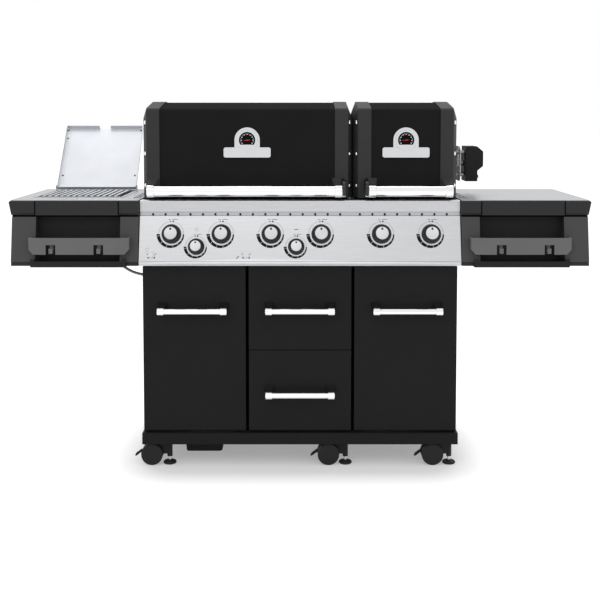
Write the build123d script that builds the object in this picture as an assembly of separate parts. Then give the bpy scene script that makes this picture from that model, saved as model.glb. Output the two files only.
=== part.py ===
from build123d import *
from math import atan2, cos, degrees, hypot, radians, sin
import os

# Freestanding gas grill with two independently lidded ovens, a cart with two doors and two drawers,
# fixed side shelves and a side burner.
# Model frame: X to the user's right, Y away from the user, Z up. While the pieces are built, Y = 0 is
# the front of the side shelves and Z = 0 is the floor. ORIGIN_Y then centres the whole grill on Y = 0.

# ---------------------------------------------------------------- driving dimensions (mm)
SHEET = 2.0               # folded steel sheet
CAST = 4.0                # wall of the cast aluminium lid ends
RUN = 0.3                 # running clearance between pieces that move on each other
REVEAL = 2.5              # visible gap round doors and drawers

CONSOLE_HALF_W = 533.0    # the cart, the fireboxes, the lids and the shelves all follow this

# cart
CART_HALF_W = CONSOLE_HALF_W - 6.0   # outside of the cabinet side panels
CART_DEPTH = 468.0        # side panels, front to back
RAIL_HALF_W = CART_HALF_W + 4.0
RAIL_FRONT_Y = 2.0
RAIL_LOW_Z = 75.0
RAIL_TOP_Z = 113.0
BASE_FLOOR_Z = 98.0       # underside of the cart floor
TANK_REST_X = (-394.0, -260.0)
TANK_REST_Y = (44.0, 320.0)
TANK_REST_LOW_Z = 36.0
TANK_REST_TAPER = 6.0
DOOR_FRONT_Y = 15.0
DOOR_T = 16.0
DOOR_LOW_Z = 119.0
DOOR_TOP_Z = 676.0
DOOR_CORNER_R = 3.0
HINGE_INSET = 8.0         # hinge pin from the outer edge and from the face of a door
HINGE_PIN_R = 3.0
BAY_HALF_W = 177.0        # outside of the two dividers beside the drawers
DRAWER_SPLIT_Z = 394.0
DRAWER_BOX_GAP = 25.0     # room for a slide on each side of a drawer box
DRAWER_BOX_H = 190.0
DRAWER_BOX_L = 400.0

# console
CONSOLE_TOP_Z = 898.0
CONSOLE_LIP_Y = 18.0
LIP_LOW_Z = 860.0
GROOVE_LOW_Z = 846.0
GROOVE_DEPTH = 4.0
FACE_LOW_Z = 692.0
FACE_LOW_Y = -20.0
HEM_Z = 683.0
KNOB_INS = (98.0, 97.5, 82.0, 89.0)   # first and last knob of each firebox from its sides
KNOB_Z = 787.0
SMALL_KNOB_Z = 746.0
KNOB_SKIRT_R = 32.5
KNOB_FACE_R = 21.5
KNOB_DEPTH = 32.0
SMALL_KNOB_SCALE = 0.84
STEM_R = 4.0
STEM_REACH = 22.0         # stem past the console face
BEZEL_W = 4.0
BEZEL_H = 2.0
BUTTON_IN = 41.0          # outer button from the console's end
BUTTON_Z = 719.0
BUTTON_R = 8.5
BUTTON_PROUD = 5.0
BUTTON_L = 24.0
MANIFOLD_Y = 46.0
MANIFOLD_Z = 771.0
MANIFOLD_R = 10.0
MANIFOLD_IN = 63.0        # ends of the gas rail from the console's ends
INLET_R = 7.94
INLET_L = 15.0

# fireboxes
FIREBOX_FRONT_Y = 72.0
FIREBOX_BACK_Y = 512.0
FIREBOX_LOW_Z = 702.0
FIREBOX_WALL = 3.0
FIREBOX_LEFT = (8.0 - CONSOLE_HALF_W, 168.0)
FIREBOX_RIGHT = (189.0, CONSOLE_HALF_W - 8.0)
LEDGE_W = 12.0
GRID_Z = 878.0            # the cooking grids rest here
GRID_H = 12.0
GRID_BAR_W = 7.0
GRID_PITCH = 19.0
BURNER_R = 15.0
BURNER_Z = 786.0
TENT_Z = 822.0            # the heat tents over the burners rest here
TENT_W = 95.0
TENT_H = 42.0
TRAY_X = (-300.0, 300.0)
TRAY_Y = (110.0, 500.0)
TRAY_Z = (640.0, 668.0)
RUNNER_W = 14.0

# lids
LID_FRONT_Y = 63.0
LID_BACK_Y = 524.0
LID_LOW_Z = 902.0
LID_TOP_Z = 1231.0
LID_CREASE_Z = LID_TOP_Z - 27.0
LID_LEFT = (-CONSOLE_HALF_W, 177.5)
LID_RIGHT = (180.0, CONSOLE_HALF_W)
CAP_BAND = 44.0           # front face of a lid end
CAP_BEVEL = 16.0          # width of its bevelled outer side
CAP_BEVEL_BACK = 44.0     # how far the bevel runs back
SHELL_DROP = 3.0          # the rolled lid sits this far inside its cast ends
LID_HINGE_Y = 512.0
LID_HINGE_Z = 926.0
LID_PIN_R = 5.0
LID_EAR_IN = 27.0         # hinge ear from the outer side of its lid
EAR_T = 10.0
LID_ROUNDING = (12.0, 260.0, 110.0, 60.0)
LID_HANDLE_R = 21.5       # sleeves
LID_HANDLE_STEP = 2.5     # bar below its sleeves
LID_HANDLE_Z = 930.0
LID_HANDLE_OUT = 55.0     # handle axis in front of the lid
LID_SLEEVE_L = 24.0
LID_BOSS_R = 28.5         # cast boss at the inner end of a handle
LID_BOSS_L = 12.0
LID_BOSS_UP = 8.0
GAUGE_W = 85.0
GAUGE_LOW_Z = 1072.0
GAUGE_TOP_Z = 1140.0
GAUGE_CHORD = 15.5        # flat lower edge of the window below its centre
PLATE_W = 158.0
PLATE_H = 34.0
PROBE_R = 3.0

# handles of the doors and drawers
BAR_R = 11.0
SLEEVE_R = 14.0
SLEEVE_L = 23.0
BAR_OUT = 38.0
BAR_HALF_L = 115.0
UPPER_BAR_Z = 532.0
LOWER_BAR_Z = 249.5
DOOR_BAR_SHIFT = 5.5      # door handle outwards of the middle of its door

# side shelves
SHELF_W = 429.0
SHELF_DEPTH = 485.0
SHELF_TOP_Z = 900.0
FASCIA_H = 50.0
FASCIA_T = 24.0
FASCIA_CHAMFER = 7.0      # lower front edge
FASCIA_TAPER = 8.0        # its outer end leans in by this at the bottom
FASCIA_EDGE = 4.0         # chamfer along its outer top edge
VENT_IN = 10.0            # first of three vent slots from the shelf's inner side
VENT_PITCH = 9.5
VENT_W = 4.0
VENT_Y = (84.0, 300.0)
CHEEK_GAP = 6.0
CHEEK_LOW_Z = 683.0
CHEEK_HEM_H = 13.0
CHEEK_HEM_STEP = 3.0
CHEEK_TOP_Y = 8.0
CHEEK_LOW_Y = -18.0
OUTER_CHEEK_IN = (8.0, 88.0)      # sides of the outer cheek from the shelf's outer end
INNER_CHEEK_W = 61.0
RECESS_Y = 45.0
LIP_Y = -34.0             # lower lip under the recess
TOOL_BAR_Y = -40.0
TOOL_BAR_Z = (724.0, 779.0)
TOOL_BAR_INS = (72.0, 27.0)       # ends of a tool bar from the shelf's outer and inner ends
TOOL_BAR_T = 4.0
HOOK_INS = (146.0, 126.0)

# side burner
BURNER_PAN_INS = (59.0, 74.0)
BURNER_PAN_Y = (121.0, 411.0)
BURNER_PAN_DEPTH = 45.0
PAN_FLANGE = 8.0
BURNER_HEAD_R = 48.0
BURNER_HEAD = (18.0, 30.0)        # underside and top of the burner head above the pan's floor
GRATE_BARS = 13
SIDE_LID_L = 288.0
SIDE_LID_RIM = 17.0
SCALLOP_R = 38.0          # finger scallop in its front edge
SCALLOP_DEPTH = 8.0
SIDE_LID_OPEN_DEG = 128.0
SIDE_LID_TOP = 9.0        # top of the side burner lid above its hinge axis
SIDE_LID_TAIL = 7.0       # lid behind its hinge axis
SIDE_HINGE_UP = 14.0
SIDE_PIN_R = 2.5

# casters
WHEEL_R = 36.5
WHEEL_W = 17.0
HOOD_T = 15.0
CASTER_TRAIL = 25.0
CASTER_INS = (51.5, 54.0)         # outer casters from the cabinet's sides
CASTER_MIDDLE_X = 121.0
CASTER_Y = 36.0
CASTER_BACK_Y = 440.0
KING_PIN_R = 5.0
AXLE_R = 4.0
FOOT_R = 22.0
FOOT_H = 8.0
FOOT_HUB = (11.0, 13.0)   # radius at the foot and height of the hub on it
STUD_R = 5.0
LEVELLER_R = 9.0
LEVELLER_LOW_Z = 25.0
LEVELLER_X = 33.0         # leveller from the swivel axis
LEVER_W = 8.0
LEVER_Z = 46.0
LEVER_BACK = 20.0         # lever pin from the wheel's axis
LEVER_PIN_R = 1.5

# rotisserie motor
MOTOR_OUT = 49.0          # motor from the console's end
MOTOR_W = 66.0
MOTOR_Z = (947.0, 1071.0)
MOTOR_Y = (228.0, 318.0)
SPIT_SQUARE = 8.3

# gas hose
HOSE_R = 5.0
HOSE_Y = 260.0

# ---------------------------------------------------------------- sizes worked out from those above
LID_ENDS = [(LID_LEFT[0], 1), (LID_LEFT[1], -1), (LID_RIGHT[0], 1), (LID_RIGHT[1], -1)]
DRAWER_BOX_HALF_W = BAY_HALF_W - SHEET - DRAWER_BOX_GAP
DRAWER_SPANS = ((DOOR_LOW_Z, DRAWER_SPLIT_Z - REVEAL / 2), (DRAWER_SPLIT_Z + REVEAL / 2, DOOR_TOP_Z))
SHELF_IN_X = CONSOLE_HALF_W + 3.0
SHELF_OUT_X = SHELF_IN_X + SHELF_W
OUTER_CHEEK_X = (SHELF_OUT_X - OUTER_CHEEK_IN[0], SHELF_OUT_X - OUTER_CHEEK_IN[1])
INNER_CHEEK_X = (SHELF_IN_X + INNER_CHEEK_W, SHELF_IN_X)
TOOL_BAR_X = (SHELF_OUT_X - TOOL_BAR_INS[0], SHELF_IN_X + TOOL_BAR_INS[1])
HOOK_XS = (SHELF_OUT_X - HOOK_INS[0], SHELF_IN_X + HOOK_INS[1])
BURNER_PAN_X = (BURNER_PAN_INS[0] - SHELF_OUT_X, -SHELF_IN_X - BURNER_PAN_INS[1])
DOOR_BAR_X = (CART_HALF_W + BAY_HALF_W) / 2 + DOOR_BAR_SHIFT
CASTER_BACK_XS = (CASTER_INS[0] - CART_HALF_W, CART_HALF_W - CASTER_INS[1])
CASTER_FRONT_XS = (CASTER_BACK_XS[0], CASTER_MIDDLE_X, CASTER_BACK_XS[1])
MOTOR_X = CONSOLE_HALF_W + MOTOR_OUT
LEFT_KNOBS = (FIREBOX_LEFT[0] + KNOB_INS[0], FIREBOX_LEFT[1] - KNOB_INS[1])
LEFT_PITCH = (LEFT_KNOBS[1] - LEFT_KNOBS[0]) / 3
RIGHT_KNOBS = (FIREBOX_RIGHT[0] + KNOB_INS[2], FIREBOX_RIGHT[1] - KNOB_INS[3])
KNOB_XS = [LEFT_KNOBS[0] + number * LEFT_PITCH for number in range(4)] + list(RIGHT_KNOBS)
SMALL_KNOB_XS = (LEFT_KNOBS[0] + 0.5 * LEFT_PITCH, LEFT_KNOBS[0] + 2.5 * LEFT_PITCH)
BUTTON_XS = (BUTTON_IN - CONSOLE_HALF_W, LEFT_KNOBS[0] + 1.5 * LEFT_PITCH)
CAB_FRONT_Y = DOOR_FRONT_Y + DOOR_T / 2 + hypot(HINGE_INSET, DOOR_T / 2) + 2 * RUN
CAB_BACK_Y = CAB_FRONT_Y + CART_DEPTH
FRAME_FRONT_Y = CAB_FRONT_Y - RUN          # rails and console end just ahead of the cabinet
CART_FLOOR_Z = BASE_FLOOR_Z + SHEET
DIVIDER_IN = BAY_HALF_W - SHEET
FACE_TOP_Z = GROOVE_LOW_Z
TILT = atan2(CONSOLE_LIP_Y - FACE_LOW_Y, FACE_TOP_Z - FACE_LOW_Z)
FACE_OUT = (0.0, -cos(TILT), sin(TILT))
LID_HANDLE_Y = LID_FRONT_Y - LID_HANDLE_OUT
BAR_Y = DOOR_FRONT_Y - BAR_OUT
SIDE_HINGE_Y = BURNER_PAN_Y[1] + 10.0
SIDE_HINGE_Z = SHELF_TOP_Z + SIDE_HINGE_UP
SIDE_LID_X = (BURNER_PAN_X[0] - 2.0, BURNER_PAN_X[1] - 2.0)


def side_lid_reach():
    """How far back the open side burner lid reaches."""
    turn = radians(SIDE_LID_OPEN_DEG)
    front = SIDE_LID_TAIL - SIDE_LID_L
    return SIDE_HINGE_Y + front * cos(turn) + SIDE_LID_TOP * sin(turn)


ORIGIN_Y = (TOOL_BAR_Y + side_lid_reach()) / 2


# ---------------------------------------------------------------- helpers
def block(x, y, z):
    """A box from its (low, high) spans."""
    size = [abs(span[1] - span[0]) for span in (x, y, z)]
    middle = [(span[0] + span[1]) / 2 for span in (x, y, z)]
    return Pos(*middle) * Box(*size)


def rod(start, end, radius):
    """A solid cylinder between two points."""
    path = Vector(*end) - Vector(*start)
    plane = Plane(origin=start, z_dir=path.normalized())
    return extrude(plane * Circle(radius), amount=path.length)


def prism_x(points, x_low, x_high, radii=None):
    """A (Y, Z) outline run from x_low to x_high, with optional rounding of named corners."""
    plane = Plane(origin=(x_low, 0, 0), x_dir=(0, 1, 0), z_dir=(1, 0, 0))
    outline = make_face(Polyline(*points, close=True))
    for number, radius in (radii or {}).items():
        corner = Vector(*points[number])
        near = min(outline.vertices(), key=lambda v: (v.center() - corner).length)
        outline = fillet(near, radius)
    return extrude(plane * outline, amount=x_high - x_low)


def prism_y(points, y_low, y_high):
    """An (X, Z) outline run from y_low to y_high."""
    plane = Plane(origin=(0, y_high, 0), x_dir=(1, 0, 0), z_dir=(0, -1, 0))
    return extrude(plane * make_face(Polyline(*points, close=True)), amount=y_high - y_low)


def prism_z(points, z_low, z_high):
    """An (X, Y) outline run from z_low to z_high."""
    outline = make_face(Polyline(*points, close=True))
    return extrude(Pos(0, 0, z_low) * outline, amount=z_high - z_low)


def bent_sheet(points, thickness):
    """The outline of a folded sheet whose outer side follows points; its metal lies to their left."""
    count = len(points)
    normals = []
    for (ax, ay), (bx, by) in zip(points, points[1:]):
        length = hypot(bx - ax, by - ay)
        normals.append((-(by - ay) / length, (bx - ax) / length))
    inner = []
    for number, (px, py) in enumerate(points):
        before = normals[max(number - 1, 0)]
        after = normals[min(number, count - 2)]
        scale = thickness / (1 + before[0] * after[0] + before[1] * after[1])
        inner.append((px + (before[0] + after[0]) * scale, py + (before[1] + after[1]) * scale))
    return list(points) + inner[::-1]


def mirrored(shape):
    """The same piece on the other side of the grill."""
    return mirror(shape, about=Plane.YZ)


def on_face(x, z, out=0.0):
    """A point on the sloping console face, or this far in front of it."""
    y = CONSOLE_LIP_Y - (FACE_TOP_Z - z) * sin(TILT) / cos(TILT)
    return (x, y + out * FACE_OUT[1], z + out * FACE_OUT[2])


def face_rod(x, z, low, high, radius):
    return rod(on_face(x, z, low), on_face(x, z, high), radius)


def save(name, shape):
    """Write one node, centred front to back."""
    solids = [Pos(0, -ORIGIN_Y, 0) * solid for solid in shape.solids()]
    whole = solids[0] if len(solids) == 1 else Compound(children=solids)
    whole.label = name
    export_step(whole, f"parts/{name}.step")


# ---------------------------------------------------------------- cart
def base_pan():
    """Cart floor with its front rail, skirts, caster plates and the sunken tank rest."""
    front = prism_x(
        bent_sheet(
            [
                (FRAME_FRONT_Y, CART_FLOOR_Z),
                (FRAME_FRONT_Y, RAIL_TOP_Z),
                (RAIL_FRONT_Y, RAIL_TOP_Z),
                (RAIL_FRONT_Y, RAIL_LOW_Z),
                (RAIL_FRONT_Y + 12.0, RAIL_LOW_Z),
            ],
            SHEET,
        ),
        -RAIL_HALF_W,
        RAIL_HALF_W,
    )
    back_y = CAB_BACK_Y + SHEET
    floor = block((-RAIL_HALF_W, RAIL_HALF_W), (RAIL_FRONT_Y + SHEET, back_y), (BASE_FLOOR_Z, CART_FLOOR_Z))
    pan = front + floor
    for side in (-1, 1):
        x = (side * RAIL_HALF_W, side * (RAIL_HALF_W - SHEET))
        pan += block(x, (RAIL_FRONT_Y, back_y + SHEET), (RAIL_LOW_Z, RAIL_TOP_Z))
    pan += block((-RAIL_HALF_W, RAIL_HALF_W), (back_y, back_y + SHEET), (RAIL_LOW_Z, RAIL_TOP_Z))
    for x, y in caster_places():
        pan += block((x - 30, x + 30), (y - 24, y + 40), (BASE_FLOOR_Z - 4, BASE_FLOOR_Z))
        pan -= rod((x, y, 80), (x, y, 120), KING_PIN_R + RUN)
    pan -= block((TANK_REST_X[0], TANK_REST_X[1]), TANK_REST_Y, (BASE_FLOOR_Z - 1, CART_FLOOR_Z + 1))
    pan += tank_rest()
    for side in (-1, 1):
        x = side * (CART_HALF_W - HINGE_INSET)
        y = DOOR_FRONT_Y + DOOR_T / 2
        pan -= rod((x, y, RAIL_TOP_Z - 6), (x, y, RAIL_TOP_Z + 1), HINGE_PIN_R + RUN)
    return pan


def tank_rest():
    """Shallow sunken tray that the gas bottle's foot ring stands in."""
    x_low, x_high = TANK_REST_X

    def section(x_add, z):
        spans = (x_high - x_low + 2 * x_add, TANK_REST_Y[1] - TANK_REST_Y[0] + 2 * x_add)
        middle = ((x_low + x_high) / 2, sum(TANK_REST_Y) / 2)
        return Pos(middle[0], middle[1], z) * RectangleRounded(*spans, 12.0)

    outer = loft([section(0, CART_FLOOR_Z), section(-TANK_REST_TAPER, TANK_REST_LOW_Z)])
    inner = loft(
        [section(-SHEET, CART_FLOOR_Z + 0.1), section(-TANK_REST_TAPER - SHEET, TANK_REST_LOW_Z + SHEET)]
    )
    rim = block(TANK_REST_X, TANK_REST_Y, (BASE_FLOOR_Z, CART_FLOOR_Z))
    return outer + rim - inner


def side_panel(side):
    """Folded side of the cabinet, its flanges turned inwards."""
    x_out, x_in = side * CART_HALF_W, side * (CART_HALF_W - SHEET)
    low, high = CART_FLOOR_Z, FIREBOX_LOW_Z
    panel = block((x_out, x_in), (CAB_FRONT_Y, CAB_BACK_Y), (low, high))
    flange = (x_in, side * (CART_HALF_W - 22.0))
    panel += block(flange, (CAB_FRONT_Y, CAB_FRONT_Y + SHEET), (low, high))
    panel += block(flange, (CAB_BACK_Y - 2 * SHEET, CAB_BACK_Y - SHEET), (low, high))
    panel += block(flange, (CAB_FRONT_Y, CAB_BACK_Y - SHEET), (high - SHEET, high))
    return panel


def cabinet_sides():
    return side_panel(-1) + side_panel(1)


def cabinet_back():
    """Rear panel, stopping short of the grease tray's slot, with rows of vent slots."""
    x = CART_HALF_W - SHEET
    panel = block((-x, x), (CAB_BACK_Y - SHEET, CAB_BACK_Y), (CART_FLOOR_Z, TRAY_Z[0] - 12.0))
    for column in (-350.0, 0.0, 350.0):
        for row in range(4):
            z = 230.0 + row * 40.0
            slot = Pos(column, CAB_BACK_Y - SHEET, z) * Rot(90, 0, 0) * SlotOverall(160, 12)
            panel -= extrude(slot, amount=4 * SHEET, both=True)
    return panel


def divider(side):
    """Wall between a door bay and the drawers, with the fixed halves of two drawer slides."""
    x_out, x_in = side * BAY_HALF_W, side * DIVIDER_IN
    wall = block((x_out, x_in), (CAB_FRONT_Y, CAB_BACK_Y - SHEET), (CART_FLOOR_Z, TRAY_Z[0] - 12.0))
    box_x = DRAWER_BOX_HALF_W + RUN
    for z in drawer_slide_heights():
        wall += block((x_in, side * box_x), (CAB_FRONT_Y + 4, CAB_FRONT_Y + 4 + DRAWER_BOX_L), (z - 10, z + 10))
    return wall


def cabinet_dividers():
    return divider(-1) + divider(1)


def drawer_slide_heights():
    return [low + 30.0 + DRAWER_BOX_H / 2 for low, _ in DRAWER_SPANS]


def caster_places():
    front = [(x, CASTER_Y) for x in CASTER_FRONT_XS]
    return front + [(x, CASTER_BACK_Y) for x in CASTER_BACK_XS]


def door(side):
    """Folded pan door with hinge pins at its outer corners."""
    x_out = side * (CART_HALF_W - 0.5)
    x_in = side * (BAY_HALF_W + REVEAL + 1.5)
    inset = side * (CART_HALF_W - HINGE_INSET)
    y = DOOR_FRONT_Y + DOOR_T / 2
    pan = block((x_out, x_in), (DOOR_FRONT_Y, DOOR_FRONT_Y + DOOR_T), (DOOR_LOW_Z, DOOR_TOP_Z))
    pan = fillet(pan.edges().filter_by(Axis.Z), DOOR_CORNER_R)
    inside_x = (x_out - side * 2 * HINGE_INSET, x_in - side * -14.0)
    pan -= block(inside_x, (DOOR_FRONT_Y + SHEET, DOOR_FRONT_Y + DOOR_T + 1), (DOOR_LOW_Z + 14, DOOR_TOP_Z - 14))
    pan += rod((inset, y, RAIL_TOP_Z - SHEET), (inset, y, DOOR_LOW_Z), HINGE_PIN_R)
    pan += rod((inset, y, DOOR_TOP_Z), (inset, y, HEM_Z + SHEET), HINGE_PIN_R)
    return pan


def drawer(number):
    """Drawer front with its box and the moving halves of its slides."""
    low, high = DRAWER_SPANS[number]
    half = BAY_HALF_W - REVEAL - 1.5
    front = block((-half, half), (DOOR_FRONT_Y, DOOR_FRONT_Y + DOOR_T), (low, high))
    front = fillet(front.edges().filter_by(Axis.Z), DOOR_CORNER_R)
    box_z = (low + 30.0, low + 30.0 + DRAWER_BOX_H)
    box_y = (DOOR_FRONT_Y + DOOR_T, DOOR_FRONT_Y + DOOR_T + DRAWER_BOX_L)
    width = DRAWER_BOX_HALF_W
    tub = block((-width, width), box_y, box_z)
    inner_y = (box_y[0], box_y[1] - SHEET)
    tub -= block((-width + SHEET, width - SHEET), inner_y, (box_z[0] + SHEET, box_z[1] + 1))
    return front + tub


# ---------------------------------------------------------------- handles
def handle_bar(x_low, x_high, y, z, bar_r, sleeve_r, sleeve_l):
    """Round bar with a thicker sleeve at each end."""
    profile = [(0, 0), (sleeve_r - 1, 0), (sleeve_r, 1), (sleeve_r, sleeve_l - 1), (sleeve_r - 1, sleeve_l)]
    length = x_high - x_low
    profile += [(bar_r, sleeve_l), (bar_r, length - sleeve_l), (sleeve_r - 1, length - sleeve_l)]
    profile += [(sleeve_r, length - sleeve_l + 1), (sleeve_r, length - 1), (sleeve_r - 1, length), (0, length)]
    half = make_face(Polyline(*profile, close=True))
    turned = revolve(half, Axis.Y)
    return Pos(x_low, y, z) * Rot(0, 0, -90) * turned


def handle_foot(x, y_root, z_root, root, y_bar, z_bar, sleeve_r, sleeve_l):
    """Flared bracket from a panel to a handle sleeve; it ends inside the sleeve's near side."""
    start = Plane(origin=(x, y_root, z_root), x_dir=(1, 0, 0), z_dir=(0, -1, 0))
    middle = Plane(
        origin=(x, y_root + 0.5 * (y_bar - y_root), z_root + 0.62 * (z_bar - z_root)),
        x_dir=(1, 0, 0),
        z_dir=(0, -1, 0),
    )
    end = Plane(origin=(x, y_bar, z_bar), x_dir=(1, 0, 0), z_dir=(0, -1, 0))
    return loft(
        [
            start * RectangleRounded(root[0], root[1], 4.0),
            middle * RectangleRounded(sleeve_l + 1, 1.5 * sleeve_r, 4.0),
            end * RectangleRounded(sleeve_l - 3, 1.1 * sleeve_r, 4.0),
        ]
    )


def panel_handle(x_middle, z):
    """Bar handle of a door or drawer."""
    x_low, x_high = x_middle - BAR_HALF_L, x_middle + BAR_HALF_L
    bar = handle_bar(x_low, x_high, BAR_Y, z, BAR_R, SLEEVE_R, SLEEVE_L)
    for x in (x_low + SLEEVE_L / 2, x_high - SLEEVE_L / 2):
        bar += handle_foot(x, DOOR_FRONT_Y, z + 12.0, (31.0, 26.0), BAR_Y, z, SLEEVE_R, SLEEVE_L)
    return bar


# ---------------------------------------------------------------- console
def console():
    """Stainless control console: top, lip, groove, sloping face and hem, closed at both ends."""
    lip = CONSOLE_LIP_Y
    outline = [
        (FRAME_FRONT_Y, HEM_Z),
        (FACE_LOW_Y + 8, HEM_Z),
        (FACE_LOW_Y, FACE_LOW_Z),
        (lip, FACE_TOP_Z),
        (lip + GROOVE_DEPTH, GROOVE_LOW_Z + 2),
        (lip + GROOVE_DEPTH, LIP_LOW_Z - 2),
        (lip, LIP_LOW_Z),
        (lip, CONSOLE_TOP_Z),
        (FIREBOX_FRONT_Y, CONSOLE_TOP_Z),
    ]
    folded = bent_sheet(outline, -SHEET)
    body = prism_x(folded, -CONSOLE_HALF_W, CONSOLE_HALF_W, {7: 4.0})
    closed = outline + [(FIREBOX_FRONT_Y, FIREBOX_LOW_Z), (FRAME_FRONT_Y, FIREBOX_LOW_Z)]
    for low, high in ((-CONSOLE_HALF_W, SHEET - CONSOLE_HALF_W), (CONSOLE_HALF_W - SHEET, CONSOLE_HALF_W)):
        body += prism_x(closed, low, high, {7: 4.0})
    for x, z, scale in knob_places():
        outer = face_rod(x, z, -SHEET / 2, BEZEL_H, KNOB_SKIRT_R * scale + BEZEL_W)
        body += outer
        body -= face_rod(x, z, 0, BEZEL_H + 1, KNOB_SKIRT_R * scale + 0.8)
        body -= face_rod(x, z, -8, 8, STEM_R + 2)
    for x in BUTTON_XS:
        body += face_rod(x, BUTTON_Z, -SHEET / 2, 1.5, BUTTON_R + 3)
        body -= face_rod(x, BUTTON_Z, -8, 8, BUTTON_R + RUN)
    for side in (-1, 1):
        x, y = side * (CART_HALF_W - HINGE_INSET), DOOR_FRONT_Y + DOOR_T / 2
        body -= rod((x, y, HEM_Z - 1), (x, y, HEM_Z + SHEET + 1), HINGE_PIN_R + RUN)
    return body


def knob_places():
    """X, height and relative size of the eight knobs, left to right."""
    places = [(x, KNOB_Z, 1.0) for x in KNOB_XS] + [(x, SMALL_KNOB_Z, SMALL_KNOB_SCALE) for x in SMALL_KNOB_XS]
    return sorted(places)


def knob(x, z, scale):
    """Control knob: flared skirt, raised grip with a domed cap and a pointer notch."""
    skirt, face = KNOB_SKIRT_R * scale, KNOB_FACE_R * scale
    base = BEZEL_H / 4
    bore = STEM_R + RUN
    outline = [(bore, base), (skirt - 1, base), (skirt, base + 2), (skirt - 2, base + 7)]
    outline += [(face + 3, base + 10), (face, base + 13), (face - 0.5, KNOB_DEPTH - 2), (face - 2.5, KNOB_DEPTH)]
    dome = KNOB_DEPTH + 1.5
    half = make_face(
        Polyline(*outline)
        + ThreePointArc((face - 2.5, KNOB_DEPTH), ((face - 2.5) / 2, dome - 0.4), (0, dome))
        + Polyline((0, dome), (0, STEM_REACH + RUN), (bore, STEM_REACH + RUN), (bore, base))
    )
    turned = revolve(half, Axis.Y)
    notch = Pos(0, KNOB_DEPTH + 1, 3.5 - face) * Box(2.4, 4, 6)
    plane = Plane(origin=on_face(x, z), x_dir=(1, 0, 0), z_dir=(0, -sin(TILT), -cos(TILT)))
    return plane * (turned - notch)


def push_button(x):
    """Round push button; its tail passes through the console face."""
    button = face_rod(x, BUTTON_Z, BUTTON_PROUD - BUTTON_L, BUTTON_PROUD, BUTTON_R)
    crown = min(button.faces(), key=lambda f: f.center().Y)
    return fillet(crown.edges(), 1.5)


def gas_manifold():
    """Gas rail with eight valves and their stems, its brackets and the gas inlet."""
    rail_x = (-CONSOLE_HALF_W + MANIFOLD_IN, CONSOLE_HALF_W - MANIFOLD_IN)
    rail = rod((rail_x[0], MANIFOLD_Y, MANIFOLD_Z), (rail_x[1], MANIFOLD_Y, MANIFOLD_Z), MANIFOLD_R)
    for x, z, _ in knob_places():
        inner, outer = on_face(x, z, -22.0), on_face(x, z, -6.0)
        low = min(inner[2], MANIFOLD_Z) - 13
        high = max(inner[2], MANIFOLD_Z) + 9
        rail += block((x - 13, x + 13), (inner[1] - 4, MANIFOLD_Y + 8), (low, high))
        rail += rod(inner, outer, 9.0)
        rail += rod(inner, on_face(x, z, STEM_REACH), STEM_R)
    for x in (*SMALL_KNOB_XS, BUTTON_XS[1], sum(RIGHT_KNOBS) / 2):
        rail += block((x - 8, x + 8), (MANIFOLD_Y, FIREBOX_FRONT_Y), (MANIFOLD_Z - 4, MANIFOLD_Z + 4))
    inlet_end = rail_x[0] - INLET_L - 10
    rail += rod((rail_x[0], MANIFOLD_Y, MANIFOLD_Z), (rail_x[0] - 10, MANIFOLD_Y, MANIFOLD_Z), 12.0)
    return rail + rod((rail_x[0] - 10, MANIFOLD_Y, MANIFOLD_Z), (inlet_end, MANIFOLD_Y, MANIFOLD_Z), INLET_R)


# ---------------------------------------------------------------- fireboxes and what lies in them
def burner_xs(span):
    """Burner positions: four in the wide firebox, two in the narrow one."""
    count = 4 if span is FIREBOX_LEFT else 2
    pitch = (span[1] - span[0]) / count
    return [span[0] + pitch * (number + 0.5) for number in range(count)]


def firebox(span):
    """Open-topped cast tub with a ledge for the grids, a drip slot and holes for its burners."""
    low, high = span
    wall = FIREBOX_WALL
    y = (FIREBOX_FRONT_Y, FIREBOX_BACK_Y)
    tub = block(span, y, (FIREBOX_LOW_Z, CONSOLE_TOP_Z))
    inner_y = (y[0] + wall, y[1] - wall)
    inner_x = (low + wall, high - wall)
    tub -= block(inner_x, inner_y, (FIREBOX_LOW_Z + wall, CONSOLE_TOP_Z + 1))
    for z in (GRID_Z, TENT_Z):
        for edge in ((inner_y[0], inner_y[0] + LEDGE_W), (inner_y[1] - LEDGE_W, inner_y[1])):
            tub += block(inner_x, edge, (z - wall, z))
    middle = max(min((low + high) / 2, TRAY_X[1] - 60), TRAY_X[0] + 60)
    tub -= block((middle - 45, middle + 45), (y[0] + 120, y[1] - 120), (FIREBOX_LOW_Z - 1, FIREBOX_LOW_Z + wall + 1))
    for x in burner_xs(span):
        tub -= rod((x, y[0] - 1, BURNER_Z), (x, y[0] + wall + 1, BURNER_Z), BURNER_R + RUN)
        tub += block((x - 12, x + 12), (inner_y[1] - 30, inner_y[1]), (BURNER_Z - BURNER_R - 6, BURNER_Z - BURNER_R))
    for x_end, inwards in LID_ENDS:
        if low < x_end + inwards * LID_EAR_IN < high:
            tub += hinge_ear(x_end, inwards)
    return tub


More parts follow.
